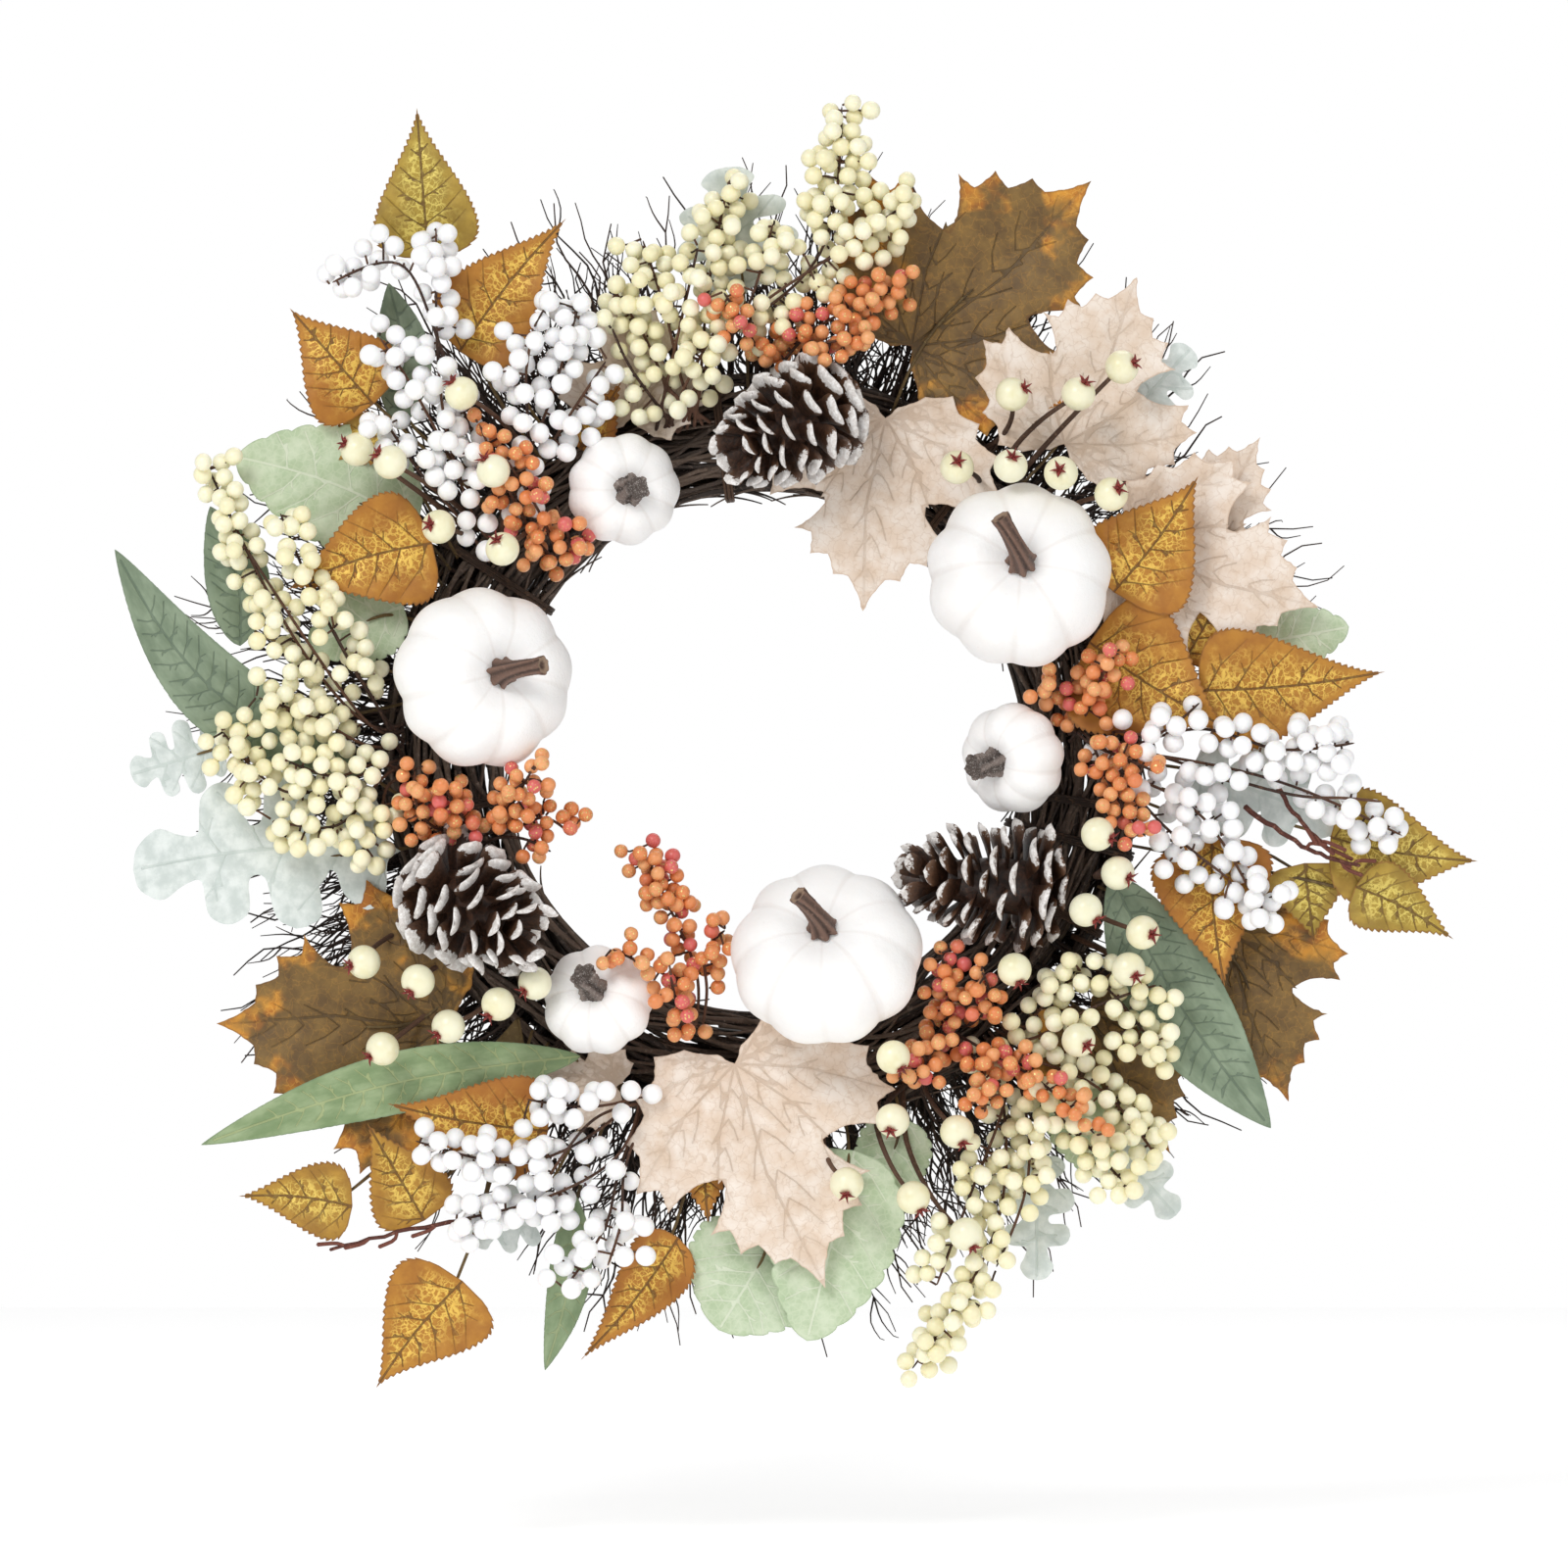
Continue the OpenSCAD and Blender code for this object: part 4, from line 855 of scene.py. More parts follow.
def leaf_piece(name, blade, side, lines, mats, slot, rng, tone, fold, curl, sickle,
               ripple=1.0, spacing=2.0, thick=0.4, stands_for=()):
    """A leaf blade with veins: a flat cut sheet, then folded, quilted, curled and made solid.

    curl, sickle, ripple, spacing and thick are in millimetres.
    """
    w, l = blade.width, blade.length
    left = [(-x * rng.uniform(0.985, 1.0), y) for x, y in reversed(side)]
    outline = np.array([(0.0, 0.0)] + list(side) + [(0.0, l)] + left)
    outline[:, 0] = np.clip(outline[:, 0], -w / 2, w / 2)
    points = [Vector(p) for p in outline]
    edges = []
    starts, ends, halves = [], [], []
    for line, half in lines:
        for a, b in zip(line[:-1], line[1:]):
            edges.append((len(points), len(points) + 1))
            points += [Vector(a), Vector(b)]
            starts.append(a)
            ends.append(b)
            halves.append(half)
    step = spacing * MM
    for j, y in enumerate(np.arange(outline[:, 1].min(), l, step * 0.87)):
        for x in np.arange(-w / 2 + (j % 2) * step / 2, w / 2, step):
            points.append(Vector((x + rng.uniform(-0.2, 0.2) * step, y + rng.uniform(-0.2, 0.2) * step)))
    ring = [list(range(len(outline)))]
    flat, _, tris, _, _, _ = delaunay_2d_cdt(points, edges, ring, 1, 1e-6)
    flat = np.array([p[:] for p in flat])
    tris = np.array([t[:] for t in tris])
    turned = np.cross(flat[tris[:, 1]] - flat[tris[:, 0]], flat[tris[:, 2]] - flat[tris[:, 0]]) < 0
    tris[turned] = tris[turned][:, ::-1]
    used, tris = np.unique(tris, return_inverse=True)
    flat, tris = flat[used], tris.reshape(-1, 3)

    vein, which = gaps_to(flat, starts, ends)
    vein_half = np.array(halves)[which]
    edge, _ = gaps_to(flat, outline, np.roll(outline, -1, axis=0))
    mid = np.abs(flat[:, 0]) / (w / 2)
    reach = np.linalg.norm((flat - [0, 0.3 * l]) / [w / 2, 0.7 * l], axis=1)

    x, y = flat[:, 0], flat[:, 1] / l
    height = fold * np.sqrt(x * x + (1.5 * MM) ** 2)
    height += 0.45 * MM * (1 - np.exp(-vein / (1.6 * MM))) * smoothstep(0, 2 * MM, edge)
    height -= curl * MM * (smoothstep(0.25, 1.0, y) ** 1.3 - 0.15)
    phase = rng.uniform(0, 6.28, 4)
    rim = 1 - np.exp(-np.abs(x) / (w * 0.22))
    height += ripple * MM * rim * (np.sin(y * 7.5 + phase[0]) * np.sign(x) * 0.5
                                   + np.sin(y * 12 + phase[1]) * 0.55)
    height += (0.8 * MM * np.sin(x / (9 * MM) + phase[2])
               * np.sin(flat[:, 1] / (11 * MM) + phase[3]))
    height = np.clip(height, -7 * MM, 8 * MM)
    bowed = flat + np.stack([sickle * MM * np.sin(math.pi * np.clip(y, 0, 1)), np.zeros_like(y)], axis=1)
    top = blade.place(bowed, height)

    normals = np.zeros_like(top)
    facing = np.cross(top[tris[:, 1]] - top[tris[:, 0]], top[tris[:, 2]] - top[tris[:, 0]])
    for k in range(3):
        np.add.at(normals, tris[:, k], facing)
    normals /= np.linalg.norm(normals, axis=1)[:, None]
    if (normals @ blade.normal).mean() < 0:
        tris, normals = tris[:, ::-1], -normals
    n = len(top)
    verts = np.vstack([top, top - normals * thick * MM])
    pair = np.sort(np.vstack([tris[:, [0, 1]], tris[:, [1, 2]], tris[:, [2, 0]]]), axis=1)
    line, counts = np.unique(pair, axis=0, return_counts=True)
    rim_edges = {tuple(e) for e in line[counts == 1]}
    walls = []
    for a, b, c in tris.tolist():
        for p, q in ((a, b), (b, c), (c, a)):
            if (min(p, q), max(p, q)) in rim_edges:
                walls.append([q, p, p + n, q + n])
    faces = tris.tolist() + (tris[:, ::-1] + n).tolist() + walls
    face_mats = [0] * len(tris) + [len(mats) - 1] * len(tris) + [0] * len(walls)
    blades.append((top, tris))
    attrs = {"vein": vein, "vein_half": vein_half, "edge": edge, "mid": mid, "reach": reach,
             "tone": np.full(n, tone)}
    attrs = {key: np.tile(values, 2) for key, values in attrs.items()}
    return add_piece(name, verts, faces, mats, slot, attrs=attrs, uv=np.vstack([flat, flat]),
                     face_mats=face_mats, sharp=55, stands_for=stands_for)


# Each leaf of a node, anticlockwise round the ring from the left: its tone, its width and
# length as shares of the CAD blade's, and how far it bows sideways in millimetres
STYLES = {
    "gold_leaves_top": [(0.1, 1.1, 1.0, 0), (0.3, 1.12, 1.0, -2), (0.9, 1.15, 1.0, 0),
                        (0.25, 1.25, 1.05, 0), (0.8, 1.1, 1.0, 0), (0.3, 1.25, 1.15, 3)],
    "gold_leaves_right": [(0.2, 1.3, 1.1, 2), (0.9, 1.2, 1.05, 0), (0.9, 1.15, 1.05, -2),
                          (0.85, 1.25, 1.05, 2), (0.35, 1.2, 1.05, 2), (0.3, 1.35, 1.1, 2),
                          (0.4, 1.25, 1.1, 0), (0.3, 1.35, 1.15, 2)],
    "gold_leaves_bottom": [(0.75, 1.3, 1.05, 2), (0.7, 1.25, 1.1, 0), (0.15, 1.25, 1.1, -2),
                           (0.35, 1.15, 1.0, 2), (0.2, 1.2, 1.0, -2), (0.2, 1.2, 1.1, 0)],
    "brown_maple_leaves": [(0.3, 1.12, 1.08, 0), (0.4, 1.2, 1.15, 0), (0.5, 1.2, 1.12, 0),
                           (0.3, 1.22, 1.1, 0)],
    "beige_maple_leaves_top": [(0.3, 1.12, 1.06, 0), (0.3, 1.42, 1.25, 0),
                               (0.4, 1.35, 1.1, 0)],
    "beige_maple_leaves_right": [(0.3, 1.1, 1.05, 0), (0.3, 1.4, 1.2, 0)],
    "beige_maple_leaves_bottom": [(0.3, 1.4, 1.2, 0), (0.3, 1.08, 1.05, 0)],
    "long_green_leaves": [(0.8, 1.1, 1.0, 7), (0.75, 1.25, 1.0, -4), (0.3, 0.95, 1.06, 5),
                          (0.4, 1.3, 1.0, 4), (0.3, 1.3, 1.1, 5), (0.2, 1.15, 1.0, -17)],
    "scalloped_leaves": [(0.3, 1.35, 1.15, 0), (0.3, 1.35, 1.05, 0), (0.3, 1.3, 1.1, 0),
                         (0.3, 1.2, 1.1, 0), (0.3, 1.1, 1.05, 0), (0.3, 1.2, 1.0, 4),
                         (0.3, 1.4, 1.3, 0)],
    "frosted_leaves": [(0.3, 1.3, 1.0, 0), (0.3, 1.15, 1.05, 5), (0.3, 1.5, 1.3, 0),
                       (0.3, 1.4, 1.1, 0), (0.3, 1.4, 1.1, 0), (0.3, 1.3, 1.0, 0),
                       (0.3, 1.3, 1.1, 0), (0.3, 1.6, 1.1, 0)],
}

# How far each kind of leaf lies in front of its CAD blade, in millimetres
LAYER = {"gold": 3.5, "brown": -3.0, "beige": 2.0, "long": 1.0, "pale": -4.0, "frost": -2.0}


def grow(node, kind):
    """Every blade of a CAD leaf node as a leaf of this kind, in its own style."""
    for i, (solid, style) in enumerate(zip(islands(node), STYLES[node])):
        tone, wide, long, sickle = style
        blade = Blade(*solid)
        blade.base = (blade.base - blade.along * blade.length * (long - 1) * 0.6
                      + FRONT * LAYER[kind] * MM)
        blade.width *= wide
        blade.length *= long
        w, l = blade.width, blade.length
        name = f"{node}_{i + 1}"
        rng = seeded(name)
        shape = {"tone": tone, "curl": rng.uniform(-1.0, 3.0), "fold": rng.uniform(0.06, 0.14),
                 "sickle": sickle, "stands_for": (node,) if i == 0 else ()}
        if kind == "gold":
            side = toothed_side(lambda t: ovate(t) * (w / 2 - 0.4 * MM), l, 2.7 * MM, 1.3 * MM, rng)
            lines = pinnate(ovate, w, l, 5, 0.16, rng)
            leaf_piece(name, blade, side, lines, [MAT["gold"], MAT["gold_back"]], "gold_leaf",
                       rng, **shape)
        elif kind in ("brown", "beige"):
            side = maple_side(w, l, rng)
            lines = palmate(w, l, rng)
            leaf_piece(name, blade, side, lines, [MAT[kind]], kind + "_leaf", rng,
                       spacing=2.6 if w > 0.08 else 2.0, ripple=1.5, **shape)
        elif kind == "long":
            side = toothed_side(lambda t: lanceolate(t) * w / 2, l, 3.5 * MM, 0.12 * MM, rng)
            lines = pinnate(lanceolate, w, l, 15 if l > 0.08 else 8, 0.10, rng)
            leaf_piece(name, blade, side, lines, [MAT["green"]], "green_leaf", rng, **shape)
        elif kind == "pale":
            side = crenate_side(lambda t: rounded(t) * w / 2, l, 9)
            lines = pinnate(rounded, w, l, 5, 0.12, rng)
            leaf_piece(name, blade, side, lines, [MAT["pale"]], "pale_leaf", rng, **shape)
        else:
            side = lobed_side(w, l)
            lines = pinnate(lambda t: 0.95, w, l, 4, 0.06, rng)
            leaf_piece(name, blade, side, lines, [MAT["frost"]], "frosted_leaf", rng, **shape)


for leaves, kind in (("gold_leaves_top", "gold"), ("gold_leaves_right", "gold"),
                     ("gold_leaves_bottom", "gold"), ("brown_maple_leaves", "brown"),
                     ("beige_maple_leaves_top", "beige"), ("beige_maple_leaves_right", "beige"),
                     ("beige_maple_leaves_bottom", "beige"), ("long_green_leaves", "long"),
                     ("scalloped_leaves", "pale"), ("frosted_leaves", "frost")):
    grow(leaves, kind)


# ---------------------------------------------------------------- pumpkins
RIBS = 9


def pumpkin(node, stem_node, rng):
    """A ribbed foam pumpkin with a dimple at each end, and its stem."""
    points, _ = cad_mesh(node)
    centre = points.mean(axis=0)
    rel = points - centre
    _, axes = np.linalg.eigh(rel.T @ rel)
    up = axes[:, 0]
    stem_points, _ = cad_mesh(stem_node)
    if (stem_points.mean(axis=0) - centre) @ up < 0:
        up = -up
    high = rel @ up
    radius = np.linalg.norm(rel - high[:, None] * up, axis=1).max()
    half = high.max()
    widest = rel[np.argmax(np.linalg.norm(rel - high[:, None] * up, axis=1))]
    u = unit(widest - widest.dot(up) * up)
    v = np.cross(up, u)

    around, down = 200, 90
    turn = 2 * math.pi * np.arange(around) / around
    groove_at = math.radians(18) + 2 * math.pi * np.arange(RIBS) / RIBS + rng.uniform(-0.05, 0.05, RIBS)
    depth = rng.uniform(0.7, 1.25, RIBS)
    gap = (turn[:, None] - groove_at[None] + math.pi) % (2 * math.pi) - math.pi
    valley = (depth * np.exp(-(gap / 0.22) ** 2)).sum(axis=1)
    crease = (depth * np.exp(-(gap / 0.055) ** 2)).sum(axis=1)
    lump = wavy(turn, rng, [2 * math.pi / k for k in (2, 3)], 0.012)
    tilt = np.linspace(0, math.pi, down + 2)[1:-1]
    t, f = np.meshgrid(tilt, turn, indexing="ij")
    ribbing = 1 - (0.062 * valley + 0.012 * crease + lump)[None] * np.ones_like(t)
    r = radius * 0.995 * np.sin(t) ** 0.84 * ribbing
    # the ends sink into dimples
    h = half * np.cos(t) * 1.03 - half * 0.26 * np.sign(np.cos(t)) * np.exp(-(np.sin(t) / 0.34) ** 2)
    h += half * 0.02 * (valley[None] * -1) * np.sin(t) ** 0.5 * np.cos(t)
    body = (centre + r[..., None] * (np.cos(f)[..., None] * u + np.sin(f)[..., None] * v)
            + h[..., None] * up)
    verts = np.vstack([body.reshape(-1, 3), centre + up * h[0].mean(), centre + up * h[-1].mean()])
    faces = [[a, d, c, b] for a, b, c, d in skin(down, around)]
    faces += lids(around, (down * around, 0, False), (down * around + 1, (down - 1) * around, True))
    # painted shade for the foam: strongest in the rib creases and the end dimples
    shade = np.clip(crease[None] * np.ones_like(t) + 0.5 * np.exp(-(np.sin(t) / 0.25) ** 2), 0, 1)
    painted_groove_shade = np.concatenate([shade.ravel(), [0.6, 0.6]])
    add_piece(node, verts, faces, [MAT["foam"]], "pumpkin_foam", stands_for=(node,),
              attrs={"painted_groove_shade": painted_groove_shade})
    pumpkin_stem(stem_node, stem_points, centre, up, rng, "large" in node)


def pumpkin_stem(node, points, centre, up, rng, large):
    """A fluted stem: a flared foot in the dimple, a bent shaft and a cut end."""
    order = np.argsort((points - centre) @ up)
    foot = points[order[:12]].mean(axis=0)
    foot_r = np.linalg.norm(points[order[:12]] - foot, axis=1).mean()
    far = np.argsort(np.linalg.norm(points - foot, axis=1))[-12:]
    tip = points[far].mean(axis=0)
    tip_r = np.linalg.norm(points[far] - tip, axis=1).mean() * 0.95
    run = np.linalg.norm(tip - foot)
    bend = tip - foot - up * run * 0.9
    steps, sides = 34, 64
    s = np.linspace(0, 1, steps)
    path = foot + up * (run * 0.9 * s)[:, None] + bend * (s ** 2)[:, None]
    tangents = directions(path)
    u, _ = across(tangents[0])
    turn = 2 * math.pi * np.arange(sides) / sides
    flutes = 7 if large else 5
    wave = (np.cos(turn * flutes + rng.uniform(0, 6))
            + 0.4 * np.cos(turn * (flutes + 4) + rng.uniform(0, 6)))
    rings, ridge = [], []
    for i in range(steps):
        u = unit(u - u.dot(tangents[i]) * tangents[i])
        v = np.cross(tangents[i], u)
        if large:
            base = tip_r + (foot_r - tip_r) * (1 - s[i]) ** 3.2
            base *= 1 + 0.16 * smoothstep(0.86, 0.97, s[i])
            deep = 0.13 * (1 - 0.45 * s[i])
        else:
            knobs = 0.10 * math.sin(9 * s[i]) + 0.06 * math.sin(21 * s[i])
            base = (tip_r + (foot_r - tip_r) * (1 - s[i]) ** 2.5) * (1 + knobs)
            deep = 0.12
        twist = 0.7 * s[i]
        w = np.interp((turn + twist) % (2 * math.pi), np.append(turn, 2 * math.pi),
                      np.append(wave, wave[0]))
        rough = 1 + deep * w + 0.03 * rng.standard_normal(sides) * (0.5 if large else 1.2)
        r = base * rough
        rings.append(path[i] + r[:, None] * (np.cos(turn)[:, None] * u + np.sin(turn)[:, None] * v))
        ridge.append(0.5 + 0.5 * w / 1.4)
    # the cut end: a rim, then a shallow hollow
    for inset, sink in ((0.82, 0.0), (0.62, 0.5 * MM), (0.30, 0.9 * MM)):
        rings.append(path[-1] + (rings[steps - 1] - path[-1]) * inset - tangents[-1] * sink)
        ridge.append(np.full(sides, 0.3))
    count = len(rings)
    verts = np.vstack(rings + [np.array([path[-1] - tangents[-1] * 1.1 * MM, path[0] - up * 0.5 * MM])])
    faces = skin(count, sides)
    faces += lids(sides, (count * sides, (count - 1) * sides, False), (count * sides + 1, 0, True))
    cut = np.zeros(len(verts))
    if large:
        cut[steps * sides:(count - 1) * sides] = 0.75
    add_piece(node, verts, faces, [MAT["stalk" if large else "stub"]], "pumpkin_stem", stands_for=(node,),
              attrs={"ridge": np.append(np.concatenate(ridge), [0.2, 0.2]), "cut": cut}, sharp=50)


for size, places in (("large", ("left", "right", "bottom")), ("small", ("top", "right", "bottom"))):
    for where in places:
        name = f"pumpkin_{size}_{where}"
        pumpkin(name, f"pumpkin_stem_{size}_{where}", seeded(name))


# ---------------------------------------------------------------- pine cones
# Direction of each cone's tip: across, up, toward the viewer
CONE_TIPS = {"pine_cone_top": (-0.80, -0.45, 0.75), "pine_cone_left": (0.75, -0.35, 0.75),
             "pine_cone_right": (-1.0, 0.12, 0.20)}
SCALES = 66


def cone_scale(length, width, thick, lift, rng):
    """One woody scale from its root outwards: x across, y out, z toward the cone's tip."""
    around = 14
    stations = [(0.0, 0.42, 0.34), (0.2, 0.50, 0.40), (0.4, 0.64, 0.50), (0.58, 0.80, 0.66),
                (0.72, 0.95, 0.88), (0.83, 1.0, 1.0), (0.91, 0.88, 0.96), (0.96, 0.62, 0.74), (0.99, 0.30, 0.42)]
    turn = 2 * math.pi * np.arange(around) / around
    rings = []
    for s, wide, deep in stations:
        x = 0.5 * width * wide * np.sign(np.cos(turn)) * np.abs(np.cos(turn)) ** 0.9
        z = 0.5 * thick * deep * np.sign(np.sin(turn)) * np.abs(np.sin(turn)) ** 1.25
        z -= 0.30 * width * wide * (np.abs(np.cos(turn)) ** 2) * 0.5 * s
        y = np.full(around, s * length)
        z = z + lift * length * s * s
        rings.append(np.stack([x, y, z], axis=1))
    tip = np.array([[0, 1.03 * length, lift * length * 1.02 + 0.1 * thick], [0, 0, 0]])
    verts = np.vstack(rings + [tip])
    verts[:, 0] += 0.05 * width * np.sin(verts[:, 1] / length * 3 + rng.uniform(0, 6))
    n = len(stations)
    faces = [quad[::-1] for quad in skin(n, around)]
    faces += lids(around, (n * around, (n - 1) * around, True), (n * around + 1, 0, False))
    s = np.append(np.repeat([q[0] for q in stations], around), [1.0, 0.0])
    return verts, faces, s


def pine_cone(node, tip_dir, frostiness, ragged, rng):
    """A cone: a core with scales in a spiral, ragged where they open unevenly."""
    points, _ = cad_mesh(node)
    low, high = points.min(axis=0), points.max(axis=0)
    centre = (low + high) / 2
    w = unit(np.array([tip_dir[0], -tip_dir[2], tip_dir[1]]))
    rel = points - centre
    run = rel @ w
    half = (run.max() - run.min()) / 2
    centre = centre + w * (run.max() + run.min()) / 2
    radius = np.linalg.norm(rel - run[:, None] * w, axis=1).max() * 0.97
    u, v = across(w)
    g = Gather()
    core = [centre + w * half * z for z in (-0.92, -0.8, -0.5, 0.0, 0.45, 0.75, 0.86)]
    core_r = radius * np.array([0.10, 0.30, 0.42, 0.40, 0.30, 0.18, 0.08])
    verts, faces = tube(np.array(core), core_r, 20)
    g.add(verts, faces, frost=0.0, tip=0.0, umbo=0.0)
    for i in range(SCALES):
        t = (i + 0.5) / SCALES
        angle = GOLDEN * i + rng.uniform(-0.06, 0.06)
        z = half * (-0.80 + 1.52 * t)
        grown = smoothstep(0.0, 0.16, t) * 0.35 + 0.65
        reach = radius * grown * (1.0 if t < 0.35 else 1 - 0.62 * ((t - 0.35) / 0.65) ** 1.35)
        width = radius * (0.66 - 0.32 * t) * (0.8 + 0.2 * grown) * rng.uniform(0.88, 1.12)
        thick = radius * (0.115 - 0.04 * t)
        tilt = math.radians(-20 + 80 * t ** 1.15) + rng.uniform(-1, 1) * ragged
        reach *= 1 + rng.uniform(-0.6, 0.6) * ragged
        out = math.cos(angle) * u + math.sin(angle) * v
        side = np.cross(w, out)
        y_dir = math.cos(tilt) * out + math.sin(tilt) * w
        z_dir = -math.sin(tilt) * out + math.cos(tilt) * w
        local, faces, s = cone_scale(reach / max(0.55, math.cos(tilt)) * 0.86, width, thick, 0.10, rng)
        verts = (centre + w * z + out * radius * 0.12 + local[:, :1] * side + local[:, 1:2] * y_dir
                 + local[:, 2:] * z_dir)
        upper = smoothstep(-0.3, 1.0, local[:, 2] / thick)
        frost = smoothstep(0.62, 0.93, s) * (0.5 + 0.5 * upper) * rng.uniform(0.8, 1.1) * frostiness
        umbo = np.where(s >= 1.0, rng.choice([0.0, 0.8]), 0.0)
        g.add(verts, faces, frost=frost, tip=s, umbo=umbo)
    g.piece(node, [MAT["pine"]], "pine_scale", stands_for=(node,), sharp=60)


for cone, frostiness, ragged in (("pine_cone_top", 1.0, 0.06), ("pine_cone_left", 1.15, 0.24),
                                 ("pine_cone_right", 0.85, 0.14)):
    pine_cone(cone, CONE_TIPS[cone], frostiness, ragged, seeded(cone))


# ---------------------------------------------------------------- berries and their stems
def wire_tree(node):
    points, tris = cad_mesh(node)
    return BVHTree.FromPolygons([Vector(p) for p in points], tris.tolist())


def leaf_tree():
    """All the leaf blades as one surface to measure from."""
    starts = np.cumsum([0] + [len(top) for top, _ in blades[:-1]])
    faces = np.vstack([tris + start for (_, tris), start in zip(blades, starts)])
    return BVHTree.FromPolygons(np.vstack([top for top, _ in blades]).tolist(), faces.tolist())


leaf_surface = leaf_tree()


def off_leaves(centre, radius, stem=None):
    """The bead's centre, moved straight away from any leaf that the bead would cut into.

    A bead whose stem is in front of the leaf stays in front of it too.
    """
    near, _, _, gap = leaf_surface.find_nearest(Vector(centre))
    if gap > radius:
        return centre
    near = np.array(near[:])
    away = unit(centre - near) if gap > 0.1 * MM else FRONT
    if stem is not None and away @ FRONT < -0.5 and (stem - near) @ FRONT > 0:
        away = -away
    return near + away * radius


def crowded(beads, radius, crowd, tree, rng):
    """The bead centres and new ones that touch them, near the stems and clear of each other."""
    low, high = np.min(beads, axis=0) - radius, np.max(beads, axis=0) + radius
    spots = np.array(beads)
    wanted = round(len(beads) * crowd)
    for _ in range(60 * wanted):
        if len(spots) >= wanted:
            break
        way = unit(rng.standard_normal(3) * [1, 0.8, 1] + FRONT * 0.25)
        spot = spots[rng.integers(len(beads))] + way * radius * rng.uniform(1.85, 2.25)
        if (spot < low).any() or (spot > high).any():
            continue
        if np.linalg.norm(spots - spot, axis=1).min() < 1.82 * radius:
            continue
        gap = tree.find_nearest(Vector(spot))[3]
        if 1.15 * radius < gap < 3.4 * radius:
            spots = np.vstack([spots, spot])
    return spots


def berries(node, stem_node, material, slot, crowd, glitter=0.0):
    """A CAD bead node as soft round berries, each on a short stem from its spray.

    More berries crowd in between the CAD beads until there are crowd times as many.
    """
    shape, faces = ball(5 if slot == "orange_berry" else 6)
    rng = seeded(node)
    tree = wire_tree(stem_node)
    g, sprigs = Gather(), Gather()
    found = [middle_and_radius(points) for points, _ in islands(node)]
    beads, radius = [middle for middle, _ in found], found[0][1]
    for centre in crowded(beads, radius, crowd, tree, rng):
        centre = off_leaves(centre, radius, np.array(tree.find_nearest(Vector(centre))[0][:]))
        near, _, _, _ = tree.find_nearest(Vector(centre))
        near = np.array(near[:])
        out = unit(centre - near)
        u, v = across(out)
        size = radius * rng.uniform(0.93, 1.03)
        bump = 1 + 0.02 * np.sin(shape @ rng.uniform(-3, 3, 3) + rng.uniform(0, 6))
        pole = shape[:, 2]
        dimple = 1 - 0.05 * np.exp(-((1 - pole) / 0.03))
        stretch = np.array([1, 1, rng.uniform(0.97, 1.06)])
        local = shape * (bump * dimple)[:, None] * stretch * size
        verts = centre + local[:, :1] * u + local[:, 1:2] * v + local[:, 2:] * out
        g.add(verts, faces, tone=rng.random(), pole=pole, glitter=rng.random() * glitter)
        knee = ((near * 0.45 + centre * 0.55)
                + (u * rng.uniform(-1, 1) + v * rng.uniform(-1, 1)) * 0.9 * MM)
        path = spline(np.array([near, knee, centre - out * radius * 0.7]), 5)
        tube_verts, tube_faces = tube(path, np.linspace(0.55, 0.42, 5) * MM, 5)
        sprigs.add(tube_verts, tube_faces, tone=rng.random())
    g.piece(node, [MAT[material]], slot, stands_for=(node,))
    sprigs.piece(node.replace("berries", "berry_sprigs"), [MAT["berry_stem"]], "berry_stem")


def round_wires(node, material, slot, swell):
    """A CAD wire node made round: subdivided, then swollen back to its own thickness."""
    obj = smooth_copy(node, [MAT[material]], slot, levels=2)
    puff = obj.modifiers.new("swell", "DISPLACE")
    puff.mid_level = 0.0
    puff.strength = swell
    layer = obj.data.attributes.new("tone", "FLOAT", "POINT")
    co = np.empty(len(obj.data.vertices) * 3)
    obj.data.vertices.foreach_get("co", co)
    co = co.reshape(-1, 3)
    layer.data.foreach_set("value", (0.5 + 0.5 * np.sin(co @ np.array([90, 50, 70]))).astype(np.float32))


def curved_wires(node, material, slot, bow):
    """Each straight CAD wire as a wire that bows a little and thins toward its tip."""
    rng = seeded(node)
    g = Gather()
    for points, _ in islands(node):
        centre = points.mean(axis=0)
        _, axes = np.linalg.eigh((points - centre).T @ (points - centre))
        run = (points - centre) @ axes[:, 2]
        near, far = (points[np.abs(run - end) < 1.5 * MM].mean(axis=0) for end in (run.min(), run.max()))
        if np.linalg.norm((near - CENTRE) * [1, 0, 1]) > np.linalg.norm((far - CENTRE) * [1, 0, 1]):
            near, far = far, near
        length = np.linalg.norm(far - near)
        aside, over = across(unit(far - near))
        arch = (rng.choice([-1, 1]) * bow * length * aside
                + rng.uniform(-0.5, 0.5) * bow * length * over)
        path = spline(np.array([near, near + (far - near) * 0.35 + arch * 0.9,
                                near + (far - near) * 0.7 + arch * 0.8, far]), 16)
        path[:, 1] = np.minimum(path[:, 1], RING_BACK - 1.5 * MM)
        verts, faces = tube(path, np.linspace(1.35, 0.95, 16) * MM, 10)
        g.add(verts, faces, tone=rng.uniform(0.2, 0.8))
    g.piece(node, [MAT[material]], slot, stands_for=(node,))


